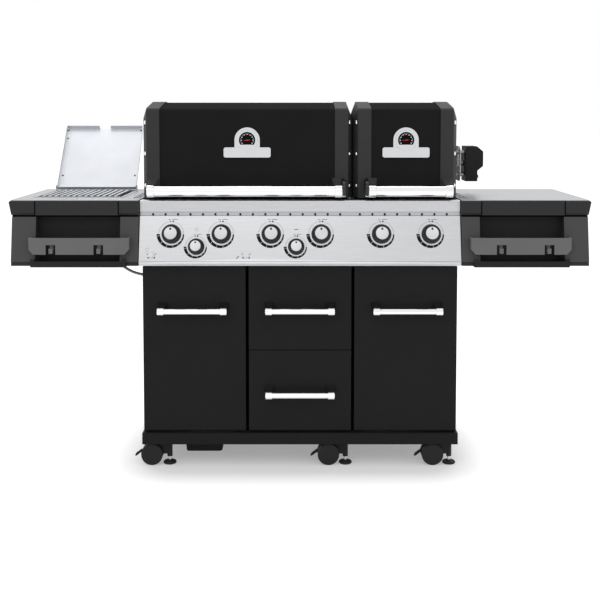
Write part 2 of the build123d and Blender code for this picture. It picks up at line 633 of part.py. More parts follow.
def hinge_ear(x_end, inwards):
    """Rear ear of a firebox with the pin that a lid end turns on."""
    middle = x_end + inwards * LID_EAR_IN
    low = (FIREBOX_BACK_Y - 16, FIREBOX_BACK_Y)
    ear = block((middle - EAR_T / 2, middle + EAR_T / 2), low, (CONSOLE_TOP_Z - 5, LID_HINGE_Z - 7))
    ear += rod((middle - EAR_T / 2, LID_HINGE_Y, LID_HINGE_Z), (middle + EAR_T / 2, LID_HINGE_Y, LID_HINGE_Z), 7.5)
    ear += block(
        (middle - EAR_T / 2, middle + EAR_T / 2), (low[0], LID_HINGE_Y), (LID_HINGE_Z - 7.5, LID_HINGE_Z + 5)
    )
    tip = x_end + inwards * 2.0
    return ear + rod((middle, LID_HINGE_Y, LID_HINGE_Z), (tip, LID_HINGE_Y, LID_HINGE_Z), LID_PIN_R)


def fireboxes():
    """Both tubs; the grease tray's runners hang under them."""
    tubs = firebox(FIREBOX_LEFT)
    left_low, left_high = TRAY_X[0] - RUN, TRAY_X[0] - RUN - RUNNER_W
    right_low, right_high = TRAY_X[1] + RUN, TRAY_X[1] + RUN + RUNNER_W
    right = firebox(FIREBOX_RIGHT)
    runner_y = (TRAY_Y[0], CAB_BACK_Y - SHEET - 2)
    shelf_z = (TRAY_Z[0] - 3 * RUN - 3, TRAY_Z[0] - 3 * RUN)
    tubs += block((left_high, left_high + 3), runner_y, (shelf_z[0], FIREBOX_LOW_Z))
    tubs += block((left_high, TRAY_X[0] + 10), runner_y, shelf_z)
    right += block((right_high - 3, right_high), runner_y, (shelf_z[0], FIREBOX_LOW_Z))
    right += block((TRAY_X[1] - 10, right_high), runner_y, shelf_z)
    return Compound(children=[*tubs.solids(), *right.solids()])


def grease_tray():
    """Pull-out tray under the fireboxes, with a rear pull lip."""
    tray = block(TRAY_X, TRAY_Y, TRAY_Z)
    tray -= block(
        (TRAY_X[0] + SHEET, TRAY_X[1] - SHEET), (TRAY_Y[0] + SHEET, TRAY_Y[1] - SHEET), (TRAY_Z[0] + SHEET, TRAY_Z[1] + 1)
    )
    pull = prism_x(
        bent_sheet([(TRAY_Y[1], TRAY_Z[1]), (TRAY_Y[1] + 18, TRAY_Z[1]), (TRAY_Y[1] + 18, TRAY_Z[0])], -SHEET),
        -120,
        120,
    )
    return tray + pull


def burners():
    """Tube burners with rows of ports, their rear ends on pegs of the fireboxes."""
    tubes = []
    for span in (FIREBOX_LEFT, FIREBOX_RIGHT):
        for x in burner_xs(span):
            y_low, y_high = FIREBOX_FRONT_Y - 8, FIREBOX_BACK_Y - FIREBOX_WALL - 4
            tube = rod((x, y_low, BURNER_Z), (x, y_high, BURNER_Z), BURNER_R)
            tube -= rod((x, y_low - 1, BURNER_Z), (x, y_low + 40, BURNER_Z), BURNER_R - 3)
            tubes.append(tube)
    return Compound(children=[solid for tube in tubes for solid in tube.solids()])


def heat_tents():
    """Folded stainless tents over the burners, resting on the lower ledges."""
    length = (FIREBOX_FRONT_Y + FIREBOX_WALL + 1, FIREBOX_BACK_Y - FIREBOX_WALL - 1)
    tents = []
    for span in (FIREBOX_LEFT, FIREBOX_RIGHT):
        for x in burner_xs(span):
            half = TENT_W / 2
            outline = [(x - half, TENT_Z), (x - 4, TENT_Z + TENT_H), (x + 4, TENT_Z + TENT_H), (x + half, TENT_Z)]
            outline += [(x + half - 3, TENT_Z), (x + 3, TENT_Z + TENT_H - 2), (x - 3, TENT_Z + TENT_H - 2)]
            outline += [(x - half + 3, TENT_Z)]
            plane = Plane(origin=(0, length[0], 0), x_dir=(1, 0, 0), z_dir=(0, -1, 0))
            face = plane * make_face(Polyline(*outline, close=True))
            tents.append(extrude(face, amount=length[0] - length[1]))
    return Compound(children=[solid for tent in tents for solid in tent.solids()])


def grid(x_low, x_high):
    """One cast cooking grid: end rails and bars from front to back."""
    y = (FIREBOX_FRONT_Y + FIREBOX_WALL + 1, FIREBOX_BACK_Y - FIREBOX_WALL - 1)
    z = (GRID_Z, GRID_Z + GRID_H)
    rails = block((x_low, x_high), (y[0], y[0] + 10), z)
    for edge in ((y[1] - 10, y[1]), (sum(y) / 2 - 4, sum(y) / 2 + 4)):
        rails += block((x_low, x_high), edge, (z[0], z[1] - 2))
    count = round((x_high - x_low - GRID_BAR_W) / GRID_PITCH)
    pitch = (x_high - x_low - GRID_BAR_W) / count
    bars = [block((x_low + n * pitch, x_low + n * pitch + GRID_BAR_W), y, z) for n in range(count + 1)]
    return rails + bars


def cooking_grids():
    grids = []
    for span, count in ((FIREBOX_LEFT, 3), (FIREBOX_RIGHT, 2)):
        low, high = span[0] + FIREBOX_WALL + 1, span[1] - FIREBOX_WALL - 1
        width = (high - low - (count - 1)) / count
        for number in range(count):
            start = low + number * (width + 1)
            grids += grid(start, start + width).solids()
    return Compound(children=grids)


# ---------------------------------------------------------------- lids
def lid_outline(inset):
    """Side view of a lid, drawn in by inset everywhere but at its open bottom."""
    front, back = LID_FRONT_Y + inset, LID_BACK_Y - inset
    return [
        (front, LID_LOW_Z),
        (front, LID_CREASE_Z - 0.75 * inset),
        (LID_FRONT_Y + 178, LID_TOP_Z - inset),
        (LID_BACK_Y - 130, LID_TOP_Z - 22 - inset),
        (back, LID_CREASE_Z - 140 - 0.4 * inset),
        (back, LID_LOW_Z),
    ]


def lid_face(inset, x):
    """The rounded outline as a face across the lid at x."""
    points = lid_outline(inset)
    plane = Plane(origin=(x, 0, 0), x_dir=(0, 1, 0), z_dir=(1, 0, 0))
    outline = make_face(Polyline(*points, close=True))
    for number, radius in enumerate(LID_ROUNDING, start=1):
        corner = Vector(*points[number])
        near = min(outline.vertices(), key=lambda v: (v.center() - corner).length)
        outline = fillet(near, max(radius - inset, 3.0))
    return plane * outline


def lid_end(x_out, x_in):
    """Cast end of a lid: a hollow cap with a front band and a bevelled outer side."""
    towards = 1 if x_in > x_out else -1
    x_bevel = x_out + towards * CAP_BEVEL
    x_side = x_out + towards * CAST
    band = extrude(lid_face(0, x_bevel), amount=towards * CAP_BAND)
    bevel = loft([lid_face(0, x_bevel), lid_face(CAP_BEVEL_BACK, x_out)], ruled=True)
    hollow = extrude(lid_face(CAP_BEVEL_BACK + CAST, x_side), amount=towards * (CAP_BEVEL + CAP_BAND))
    room = extrude(lid_face(CAST, x_bevel + towards * CAST), amount=towards * CAP_BAND)
    cap = band + bevel - hollow - room
    boss = rod((x_out, LID_HINGE_Y, LID_HINGE_Z), (x_bevel, LID_HINGE_Y, LID_HINGE_Z), 9.0)
    return cap + boss


def lid_spans(lid):
    """The X spans of a lid's left end, rolled shell and right end."""
    depth = CAP_BEVEL + CAP_BAND
    return (lid[0], lid[0] + depth), (lid[0] + depth, lid[1] - depth), (lid[1], lid[1] - depth)


def lid_ends(lid):
    left, _, right = lid_spans(lid)
    ends = []
    for x_out, x_in in (left, right):
        towards = 1 if x_in > x_out else -1
        end = lid_end(x_out, x_in)
        end -= rod(
            (x_out - towards, LID_HINGE_Y, LID_HINGE_Z),
            (x_out + towards * 30, LID_HINGE_Y, LID_HINGE_Z),
            LID_PIN_R + 0.1,
        )
        ear = x_out + towards * LID_EAR_IN
        room = EAR_T / 2 + 1.5
        end -= block((ear - room, ear + room), (LID_HINGE_Y, LID_BACK_Y + 1), (LID_LOW_Z - 1, LID_HINGE_Z + 10))
        ends += end.solids()
    return Compound(children=ends)


def lid_shell(lid):
    """Rolled sheet between the cast ends, set a little inside their outline."""
    _, span, _ = lid_spans(lid)
    outer = extrude(lid_face(SHELL_DROP, span[0]), amount=span[1] - span[0])
    inner = extrude(lid_face(SHELL_DROP + SHEET, span[0]), amount=span[1] - span[0])
    x = (span[0] + span[1]) / 2
    z = GAUGE_TOP_Z - GAUGE_W / 2
    probe_hole = rod((x, LID_FRONT_Y, z), (x, LID_FRONT_Y + 3 * SHELL_DROP, z), PROBE_R + RUN)
    return outer - inner - probe_hole


def lid_handle(lid):
    """Big round handle on flared brackets that stand on the lid ends' front bands."""
    left, _, right = lid_spans(lid)
    x_low = left[0] + CAP_BEVEL + 10
    x_high = right[0] - CAP_BEVEL - 22 if lid is LID_LEFT else right[0] - CAP_BEVEL - 10
    if lid is LID_RIGHT:
        x_low += 22
    sleeve = LID_SLEEVE_L
    bar_r = LID_HANDLE_R - LID_HANDLE_STEP
    bar = handle_bar(x_low, x_high, LID_HANDLE_Y, LID_HANDLE_Z, bar_r, LID_HANDLE_R, sleeve)
    for x in (x_low + sleeve / 2, x_high - sleeve / 2):
        bar += handle_foot(
            x, LID_FRONT_Y, LID_HANDLE_Z + 18, (40.0, 44.0), LID_HANDLE_Y, LID_HANDLE_Z, LID_HANDLE_R, sleeve
        )
    boss_x = (x_high, x_high + LID_BOSS_L) if lid is LID_LEFT else (x_low - LID_BOSS_L, x_low)
    boss_z = LID_HANDLE_Z + LID_BOSS_UP
    boss = rod((boss_x[0], LID_HANDLE_Y, boss_z), (boss_x[1], LID_HANDLE_Y, boss_z), LID_BOSS_R)
    boss = fillet(boss.edges(), 3.0)
    return bar + boss + block(boss_x, (LID_HANDLE_Y, LID_FRONT_Y), (boss_z - 16, boss_z + 26))


def lid_gauge(lid):
    """Thermometer: arched plate, round bezel and a plain bar-shaped plate under it."""
    _, span, _ = lid_spans(lid)
    x = (span[0] + span[1]) / 2
    face_y = LID_FRONT_Y + SHELL_DROP
    half = GAUGE_W / 2
    plane = Plane(origin=(x, face_y, 0), x_dir=(1, 0, 0), z_dir=(0, -1, 0))
    centre_z = GAUGE_TOP_Z - half
    arch = make_face(
        Polyline((-half, centre_z), (-half, GAUGE_LOW_Z), (half, GAUGE_LOW_Z), (half, centre_z))
        + ThreePointArc((half, centre_z), (0, GAUGE_TOP_Z), (-half, centre_z))
    )
    body = extrude(plane * arch, amount=5)
    ring = plane * Pos(0, centre_z) * (Circle(half - 8) - Circle(half - 15))
    body += extrude(ring, amount=9)
    window = half - 15
    chord = Circle(window + 0.5) & Pos(0, -window - GAUGE_CHORD) * Rectangle(2 * half, 2 * window)
    body += extrude(plane * Pos(0, centre_z) * chord, amount=8)
    bar = plane * Pos(0, GAUGE_LOW_Z - PLATE_H / 2 + 1) * RectangleRounded(PLATE_W, PLATE_H, 7)
    body += extrude(bar, amount=7)
    probe_end = face_y + 60
    return body + rod((x, face_y, centre_z), (x, probe_end, centre_z), PROBE_R)


# ---------------------------------------------------------------- side shelves
def cheek_line(z):
    """Y of the sloping front of a shelf cheek at height z."""
    top = SHELF_TOP_Z - FASCIA_H - CHEEK_GAP
    return CHEEK_TOP_Y + (CHEEK_LOW_Y - CHEEK_TOP_Y) * (top - z) / (top - CHEEK_LOW_Z)


def cheek(x_out, x_in, depth):
    """Sloping front cheek with a wall running back along its outer side."""
    top = SHELF_TOP_Z - FASCIA_H - CHEEK_GAP
    hem_z, hem_y = CHEEK_LOW_Z + CHEEK_HEM_H, cheek_line(CHEEK_LOW_Z + CHEEK_HEM_H)
    front = [(CHEEK_TOP_Y, top), (hem_y, hem_z), (hem_y + CHEEK_HEM_STEP, hem_z)]
    front += [(CHEEK_LOW_Y + CHEEK_HEM_STEP, CHEEK_LOW_Z), (RECESS_Y, CHEEK_LOW_Z), (RECESS_Y, top)]
    body = prism_x(front, x_in, x_out)
    hollow_x = (x_in + SHEET, x_out - SHEET)
    inside = CHEEK_HEM_STEP + SHEET
    hollow = [(CHEEK_TOP_Y + inside, top - SHEET), (CHEEK_LOW_Y + inside, CHEEK_LOW_Z + SHEET)]
    hollow += [(RECESS_Y + 1, CHEEK_LOW_Z + SHEET), (RECESS_Y + 1, top - SHEET)]
    body -= prism_x(hollow, *hollow_x)
    wing = [(RECESS_Y, CHEEK_LOW_Z), (RECESS_Y + 60, CHEEK_LOW_Z), (depth, SHELF_TOP_Z - FASCIA_H)]
    wing += [(depth, SHELF_TOP_Z - FASCIA_H + 2), (RECESS_Y, SHELF_TOP_Z - FASCIA_H + 2)]
    return body + prism_x(wing, x_out - SHEET, x_out)


def shelf_frame():
    """Right-hand frame: rim, fascia in three segments, cheeks, recess and lower lip."""
    top = SHELF_TOP_Z - SHEET
    low = SHELF_TOP_Z - FASCIA_H
    x_in, x_out = SHELF_IN_X, SHELF_OUT_X
    face = [(0, low + FASCIA_CHAMFER), (FASCIA_CHAMFER, low), (FASCIA_T, low), (FASCIA_T, top), (0, top)]
    fascia = prism_x(face, x_in, x_out, {4: 3.0})
    fascia += block((x_in + 65, x_out - 85), (0, FASCIA_T), (low, top))
    fascia -= prism_y([(x_out, top - 7), (x_out - FASCIA_TAPER, low), (x_out + 1, low)], -1, FASCIA_T + 1)
    for x in (x_out - 85, x_in + 65):
        fascia -= block((x - 1, x + 1), (-1, 2), (low - 1, top + 1))
    rim = prism_x([(FASCIA_T, low), (SHELF_DEPTH, low), (SHELF_DEPTH, top), (FASCIA_T, top)], x_out - 22, x_out)
    rim -= block((x_out - 19, x_out - 3), (FASCIA_T, SHELF_DEPTH - 3), (low - 1, top - 3))
    rim += block((x_in, x_out - 22), (SHELF_DEPTH - 22, SHELF_DEPTH), (low + 14, top))
    rim += block((x_in, x_in + 3), (FASCIA_T, SHELF_DEPTH), (low, top))
    rim += block((CONSOLE_HALF_W, x_in), (34, 64), (low + 8, top - 8))
    rim += block((FIREBOX_RIGHT[1], x_in), (SHELF_DEPTH - 55, SHELF_DEPTH - 25), (low + 8, top - 8))
    outer, inner = OUTER_CHEEK_X, INNER_CHEEK_X
    edge = [(x_out - FASCIA_EDGE, top), (x_out, top - FASCIA_EDGE), (x_out + 1, top + 1)]
    frame = fascia + rim - prism_y(edge, -1, SHELF_DEPTH + 1)
    frame += cheek(outer[0], outer[1], SHELF_DEPTH - 60)
    frame += cheek(inner[0], inner[1], 200.0)
    frame += block((inner[1], outer[0]), (CHEEK_TOP_Y + 4, RECESS_Y), (low - CHEEK_GAP, low))
    frame += block((inner[0], outer[1]), (RECESS_Y - SHEET, RECESS_Y), (CHEEK_LOW_Z, low))
    lip = [(LIP_Y, CHEEK_LOW_Z + 17), (LIP_Y, CHEEK_LOW_Z - 2), (RECESS_Y, CHEEK_LOW_Z - 2)]
    lip += [(RECESS_Y, CHEEK_LOW_Z), (LIP_Y + 3, CHEEK_LOW_Z), (LIP_Y + 3, CHEEK_LOW_Z + 17)]
    frame += prism_x(lip, inner[0] - 22, outer[1] + 11)
    for x in ((inner[0] - 22, inner[0] - 10), (outer[1] - 1, outer[1] + 11)):
        frame += block(x, (LIP_Y, LIP_Y + 12), (CHEEK_LOW_Z - 2, CHEEK_LOW_Z + 25))
    return frame


def shelf_top(with_burner):
    """Right-hand stainless top sheet with its vent slots, and a cut-out if it carries a burner."""
    sheet = block((SHELF_IN_X, SHELF_OUT_X - FASCIA_EDGE), (6, SHELF_DEPTH), (SHELF_TOP_Z - SHEET, SHELF_TOP_Z))
    sheet = fillet(sheet.edges().filter_by(Axis.Z).group_by(Axis.X)[-1], 8.0)
    for number in range(3):
        place = Pos(SHELF_IN_X + VENT_IN + number * VENT_PITCH, sum(VENT_Y) / 2, SHELF_TOP_Z)
        slot = place * Rot(0, 0, 90) * SlotOverall(VENT_Y[1] - VENT_Y[0], VENT_W)
        sheet -= extrude(slot, amount=2 * SHEET, both=True)
    if with_burner:
        x = (-BURNER_PAN_X[1], -BURNER_PAN_X[0])
        sheet -= block(x, BURNER_PAN_Y, (SHELF_TOP_Z - 5, SHELF_TOP_Z + 5))
    return sheet


def shelf_frames():
    frame = shelf_frame()
    return Compound(children=[*frame.solids(), *mirrored(frame).solids()])


def tool_bar():
    """Right-hand tool bar: a bowed plate swept back to the cheeks, with two hooks."""
    x_out, x_in = TOOL_BAR_X
    z_low, z_high = TOOL_BAR_Z
    low_y, thick = TOOL_BAR_Y, TOOL_BAR_T
    outer = [(x_in, 20), (x_in, low_y + 7), (x_in + 46, low_y), (x_out - 40, low_y), (x_out, low_y + 7), (x_out, 20)]
    bar = prism_z(bent_sheet(outer, thick), z_low, z_high)
    ends = [(cheek_line(z) - RUN, z) for z in (z_low - 1, z_high + 1)] + [(99, z_high + 1), (99, z_low - 1)]
    bar -= prism_x(ends, x_in - 9, x_out + 9)
    for x, towards in ((x_in, 1), (x_out, -1)):
        corner = [(x - towards, z_low - 1), (x + towards * 15, z_low - 1), (x - towards, z_low + 17)]
        bar -= prism_y(corner, low_y - 1, 99)
    for x in HOOK_XS:
        bar -= block((x - 16, x + 16), (low_y - 1, low_y + thick + 1), (z_low - 1, z_low + 32))
        hook = prism_x(
            bent_sheet(
                [
                    (low_y + thick, z_low + 40),
                    (low_y + thick + 10, z_low + 40),
                    (low_y + thick + 10, z_low + 6),
                    (low_y + 3, z_low + 6),
                    (low_y + 3, z_low + 20),
                ],
                3.0,
            ),
            x - 6,
            x + 6,
        )
        bar += hook
    return bar


def tool_bars():
    bar = tool_bar()
    return Compound(children=[*bar.solids(), *mirrored(bar).solids()])


# ---------------------------------------------------------------- side burner
def side_burner():
    """Drop-in pan with the burner head, hinge ears and gas elbow."""
    x, y = BURNER_PAN_X, BURNER_PAN_Y
    clear = RUN
    outer_x, outer_y = (x[0] + clear, x[1] - clear), (y[0] + clear, y[1] - clear)
    low = SHELF_TOP_Z - BURNER_PAN_DEPTH
    pan = block(outer_x, outer_y, (low, SHELF_TOP_Z))
    flange_x, flange_y = (x[0] - PAN_FLANGE, x[1] + PAN_FLANGE), (y[0] - PAN_FLANGE, y[1] + PAN_FLANGE)
    pan += block(flange_x, flange_y, (SHELF_TOP_Z, SHELF_TOP_Z + 1.5))
    inner_x, inner_y = (x[0] + 3, x[1] - 3), (y[0] + 3, y[1] - 3)
    pan -= block(inner_x, inner_y, (low + SHEET, SHELF_TOP_Z + 5))
    ledge = SHELF_TOP_Z - 9
    pan += block(inner_x, (y[0] + 3, y[0] + 9), (ledge - SHEET, ledge))
    pan += block(inner_x, (y[1] - 9, y[1] - 3), (ledge - SHEET, ledge))
    middle_x, middle_y = sum(x) / 2, sum(y) / 2
    seat_z, head_z = low + BURNER_HEAD[0], low + BURNER_HEAD[1]
    pan += rod((middle_x, middle_y, low), (middle_x, middle_y, seat_z), 0.55 * BURNER_HEAD_R)
    pan += rod((middle_x, middle_y, seat_z), (middle_x, middle_y, head_z), BURNER_HEAD_R)
    for towards, edge in ((-1, SIDE_LID_X[0]), (1, SIDE_LID_X[1])):
        near = edge + towards * 2 * RUN
        ear_x = (near, near + towards * 3)
        pan += block(ear_x, (SIDE_HINGE_Y - 7, SIDE_HINGE_Y + 7), (SHELF_TOP_Z, SIDE_HINGE_Z + 6))
        pan += rod(
            (ear_x[0], SIDE_HINGE_Y, SIDE_HINGE_Z), (edge - towards * 8, SIDE_HINGE_Y, SIDE_HINGE_Z), SIDE_PIN_R
        )
    return pan + rod((HOSE_ROUTE[0][0], HOSE_Y, low), (HOSE_ROUTE[0][0], HOSE_Y, HOSE_ROUTE[0][2]), 9.0)


def side_burner_grate():
    """Square grate: bars from front to back between two end rails."""
    x = (BURNER_PAN_X[0] + 4, BURNER_PAN_X[1] - 4)
    y = (BURNER_PAN_Y[0] + 4, BURNER_PAN_Y[1] - 4)
    ledge = SHELF_TOP_Z - 9
    grate = block(x, (y[0], y[0] + 6), (ledge, ledge + 6)) + block(x, (y[1] - 6, y[1]), (ledge, ledge + 6))
    pitch = (x[1] - x[0]) / (GRATE_BARS + 1)
    for number in range(1, GRATE_BARS + 1):
        middle = x[0] + pitch * number
        grate += block((middle - 5, middle + 5), y, (ledge, ledge + 14))
    return grate


def side_burner_lid():
    """Shallow pressed lid of the side burner, made shut and then turned open."""
    x_low, x_high = SIDE_LID_X
    y_back, z_top = SIDE_HINGE_Y + SIDE_LID_TAIL, SIDE_HINGE_Z + SIDE_LID_TOP
    y_front = y_back - SIDE_LID_L
    low = z_top - SIDE_LID_RIM
    lid = block((x_low, x_high), (y_front, y_back), (low, z_top))
    lid = fillet(lid.edges().filter_by(Axis.Z), 6.0)
    wall = 1.5
    lid -= block((x_low + wall, x_high - wall), (y_front + wall, y_back - wall), (low - 1, z_top - wall))
    middle = (x_low + x_high) / 2
    scallop_y = y_front + SCALLOP_DEPTH - SCALLOP_R
    lid -= rod((middle, scallop_y, low - 1), (middle, scallop_y, z_top + 1), SCALLOP_R)
    for edge, towards in ((x_low, 1), (x_high, -1)):
        lid -= rod(
            (edge - towards, SIDE_HINGE_Y, SIDE_HINGE_Z),
            (edge + towards * 4, SIDE_HINGE_Y, SIDE_HINGE_Z),
            SIDE_PIN_R + RUN,
        )
    hinge = Axis((0, SIDE_HINGE_Y, SIDE_HINGE_Z), (-1, 0, 0))
    return lid.rotate(hinge, SIDE_LID_OPEN_DEG)


# ---------------------------------------------------------------- casters
def caster_hood(x, y, braked):
    """Swivel hood between the two wheel halves, its king pin and, at the front, the leveller."""
    wheel_x = x - CASTER_TRAIL
    half = HOOD_T / 2
    hood = rod((wheel_x, y - half, WHEEL_R), (wheel_x, y + half, WHEEL_R), WHEEL_R - 5)
    seat_z = BASE_FLOOR_Z - 4 - RUN
    neck = [(wheel_x, 12), (x + 14, 48), (x + 16, seat_z), (x - 16, seat_z), (x - 18, RAIL_LOW_Z - 4)]
    neck += [(wheel_x - 16, 60)]
    plane = Plane(origin=(0, y + half, 0), x_dir=(1, 0, 0), z_dir=(0, -1, 0))
    hood += extrude(plane * make_face(Polyline(*neck, close=True)), amount=HOOD_T)
    hood += rod((x, y, seat_z - 10), (x, y, seat_z), 19.0)
    hood += rod((x, y, seat_z), (x, y, BASE_FLOOR_Z + 1), KING_PIN_R)
    hood -= rod((wheel_x, y - half - 1, WHEEL_R), (wheel_x, y + half + 1, WHEEL_R), AXLE_R + 0.1)
    if braked:
        foot_x = x + LEVELLER_X
        hood += block((x, foot_x), (y - half, y + half), (34, 70))
        hood += rod((foot_x, y, LEVELLER_LOW_Z), (foot_x, y, RAIL_LOW_Z - 1), LEVELLER_R)
        hood += rod((foot_x, y, FOOT_H / 2), (foot_x, y, LEVELLER_LOW_Z), STUD_R)
        pad = Pos(foot_x, y, FOOT_H / 2) * Cylinder(FOOT_R, FOOT_H)
        hood += fillet(pad.edges(), FOOT_H / 2 - 0.6)
        hub_h = FOOT_HUB[1] - FOOT_H + 1
        hood += Pos(foot_x, y, FOOT_HUB[1] - hub_h / 2) * Cone(FOOT_HUB[0], STUD_R + 1, hub_h)
        lever_slot = (wheel_x - WHEEL_R, wheel_x - LEVER_BACK + 4)
        hood -= block(lever_slot, (y - LEVER_W / 2 - RUN, y + LEVER_W / 2 + RUN), (30, 90))
        pivot = wheel_x - LEVER_BACK
        hood += rod((pivot, y - half, LEVER_Z), (pivot, y + half, LEVER_Z), LEVER_PIN_R)
    return hood


def caster_wheel(x, y):
    """Twin wheel: two treads on one axle through the hood."""
    wheel_x = x - CASTER_TRAIL
    wheel = rod((wheel_x, y - 20, WHEEL_R), (wheel_x, y + 20, WHEEL_R), AXLE_R)
    for side in (-1, 1):
        near, far = y + side * (HOOD_T / 2 + 0.8), y + side * (HOOD_T / 2 + 0.8 + WHEEL_W)
        tread = rod((wheel_x, near, WHEEL_R), (wheel_x, far, WHEEL_R), WHEEL_R)
        wheel += fillet(tread.edges(), 2.0)
    return wheel


def brake_lever(x, y):
    """Foot lever on its pin in the hood's slot."""
    wheel_x = x - CASTER_TRAIL
    pivot = wheel_x - LEVER_BACK
    outline = [(pivot + 2.4, LEVER_Z - 2.4), (pivot + 2.4, LEVER_Z + 2.4), (pivot - 6, LEVER_Z + 5)]
    outline += [(pivot - 20, LEVER_Z + 1), (pivot - 37, LEVER_Z - 12), (pivot - 41, LEVER_Z - 20)]
    outline += [(pivot - 35, LEVER_Z - 20), (pivot - 20, LEVER_Z - 9), (pivot - 6, LEVER_Z - 5)]
    plane = Plane(origin=(0, y + LEVER_W / 2, 0), x_dir=(1, 0, 0), z_dir=(0, -1, 0))
    lever = extrude(plane * make_face(Polyline(*outline, close=True)), amount=LEVER_W)
    return lever - rod((pivot, y - LEVER_W, LEVER_Z), (pivot, y + LEVER_W, LEVER_Z), LEVER_PIN_R + 0.05)


# ---------------------------------------------------------------- rotisserie motor and gas hose
def rotisserie_motor():
    """Motor on its bracket, which stands on the right shelf beside the lid."""
    y, z = MOTOR_Y, MOTOR_Z
    leg_x = (CONSOLE_HALF_W + 8, CONSOLE_HALF_W + 11)
    motor = block(leg_x, y, (SHELF_TOP_Z, z[1] - 16))
    motor += block((leg_x[0], leg_x[0] + 16), (y[0] + 10, y[1] - 10), (SHELF_TOP_Z, SHELF_TOP_Z + 3))
    plate_x = (MOTOR_X - 17, MOTOR_X - 14)
    middle_y, middle_z = sum(y) / 2, sum(z) / 2
    plane = Plane(origin=(plate_x[0], middle_y, middle_z), x_dir=(0, 1, 0), z_dir=(1, 0, 0))
    motor += extrude(plane * RectangleRounded(y[1] - y[0], z[1] - z[0], 22), amount=3)
    for dz in (-39.0, 40.0):
        for dy in (-26.0, 26.0):
            motor += rod((leg_x[1], middle_y + dy, middle_z + dz), (MOTOR_X, middle_y + dy, middle_z + dz), 6.0)
    motor += block((MOTOR_X, MOTOR_X + 4), (y[0] + 8, y[1] - 8), (middle_z - 38, middle_z + 38))
    x_step, x_end = MOTOR_X + 46, MOTOR_X + MOTOR_W
    body = [(MOTOR_X + 4, z[0]), (x_step, z[0]), (x_step, z[0] + 38), (x_end, z[0] + 54), (x_end, z[1] - 18)]
    body += [(x_end - 22, z[1]), (MOTOR_X + 4, z[1])]
    plane = Plane(origin=(0, y[1], 0), x_dir=(1, 0, 0), z_dir=(0, -1, 0))
    case = extrude(plane * make_face(Polyline(*body, close=True)), amount=y[1] - y[0])
    case = fillet(case.edges().filter_by(Axis.Y).group_by(Axis.X)[-1], 8.0)
    socket = Pos(MOTOR_X - 6, middle_y, middle_z) * Rot(0, 90, 0) * Box(SPIT_SQUARE, SPIT_SQUARE, 40)
    hub = rod((MOTOR_X - 10, middle_y, middle_z), (MOTOR_X, middle_y, middle_z), 9.0)
    slot = block((plate_x[0] - 1, plate_x[1] + 1), (middle_y - 11, middle_y + 11), (middle_z - 11, z[1] + 1))
    leg_slot = block((leg_x[0] - 1, leg_x[1] + 1), (middle_y - 11, middle_y + 11), (middle_z - 11, z[1] + 1))
    return motor + case - slot - leg_slot + hub - socket


HOSE_STEPS = [(173.0, 845.0 - RUN), (173.0, 790.0), (166.0, 730.0), (144.0, 677.0), (106.0, 635.0)]
HOSE_STEPS += [(57.0, 610.0), (2 * RUN, 603.0)]
HOSE_ROUTE = [(-CART_HALF_W - out, HOSE_Y, z) for out, z in HOSE_STEPS]


def gas_hose():
    """Hose from the side burner to the cabinet side, on arcs as large as its runs allow."""
    points = [Vector(*point) for point in HOSE_ROUTE]
    radii = []
    for before, here, after in zip(points, points[1:], points[2:]):
        first, second = here - before, after - here
        turn = radians(first.get_angle(second))
        radii.append(0.45 * min(first.length, second.length) * cos(turn / 2) / sin(turn / 2))
    path = FilletPolyline(*points, radius=radii)
    print("hose length", round(path.length), "radii", [round(radius) for radius in radii])
    start = Plane(origin=points[0], z_dir=points[1] - points[0])
    hose = sweep(start * Circle(HOSE_R), path=path)
    print("hose volume over section times length", round(hose.volume / (3.14159 * HOSE_R**2 * path.length), 4))
    return hose


# ---------------------------------------------------------------- build every node
def build():
    os.makedirs("parts", exist_ok=True)
    save("base_pan", base_pan())
    save("cabinet_sides", cabinet_sides())
    save("cabinet_back", cabinet_back())
    save("cabinet_dividers", cabinet_dividers())
    save("console", console())
    save("gas_manifold", gas_manifold())
    save("fireboxes", fireboxes())
    save("burners", burners())
    save("heat_tents", heat_tents())
    save("cooking_grids", cooking_grids())
    save("grease_tray", grease_tray())
    save("shelf_frames", shelf_frames())
    save("shelf_top_left", mirrored(shelf_top(True)))
    save("shelf_top_right", shelf_top(False))
    save("tool_bars", tool_bars())
    save("side_burner", side_burner())
    save("side_burner_grate", side_burner_grate())
    save("side_burner_lid", side_burner_lid())
    save("gas_hose", gas_hose())
    save("rotisserie_motor", rotisserie_motor())
    for name, lid in (("left", LID_LEFT), ("right", LID_RIGHT)):
        save(f"lid_{name}_shell", lid_shell(lid))
        save(f"lid_{name}_ends", lid_ends(lid))
        save(f"lid_{name}_handle", lid_handle(lid))
        save(f"lid_{name}_gauge", lid_gauge(lid))
    for name, side in (("left", -1), ("right", 1)):
        save(f"door_{name}", door(side))
        save(f"door_{name}_handle", panel_handle(side * DOOR_BAR_X, UPPER_BAR_Z))
    for number, (name, z) in enumerate((("lower", LOWER_BAR_Z), ("upper", UPPER_BAR_Z))):
        save(f"drawer_{name}", drawer(number))
        save(f"drawer_{name}_handle", panel_handle(0.0, z))
    for number, (x, z, scale) in enumerate(knob_places(), start=1):
        save(f"knob_{number}", knob(x, z, scale))
    save("light_button", push_button(BUTTON_XS[0]))
    save("igniter_button", push_button(BUTTON_XS[1]))
    for number, (x, y) in enumerate(caster_places()):
        braked = number < len(CASTER_FRONT_XS)
        name = CASTER_NAMES[number]
        save(f"caster_hood_{name}", caster_hood(x, y, braked))
        save(f"caster_wheel_{name}", caster_wheel(x, y))
        if braked:
            save(f"brake_lever_{name}", brake_lever(x, y))


CASTER_NAMES = ("front_left", "front_middle", "front_right", "back_left", "back_right")

build()
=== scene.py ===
import math

import bmesh
import bpy
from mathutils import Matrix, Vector
from mathutils.bvhtree import BVHTree


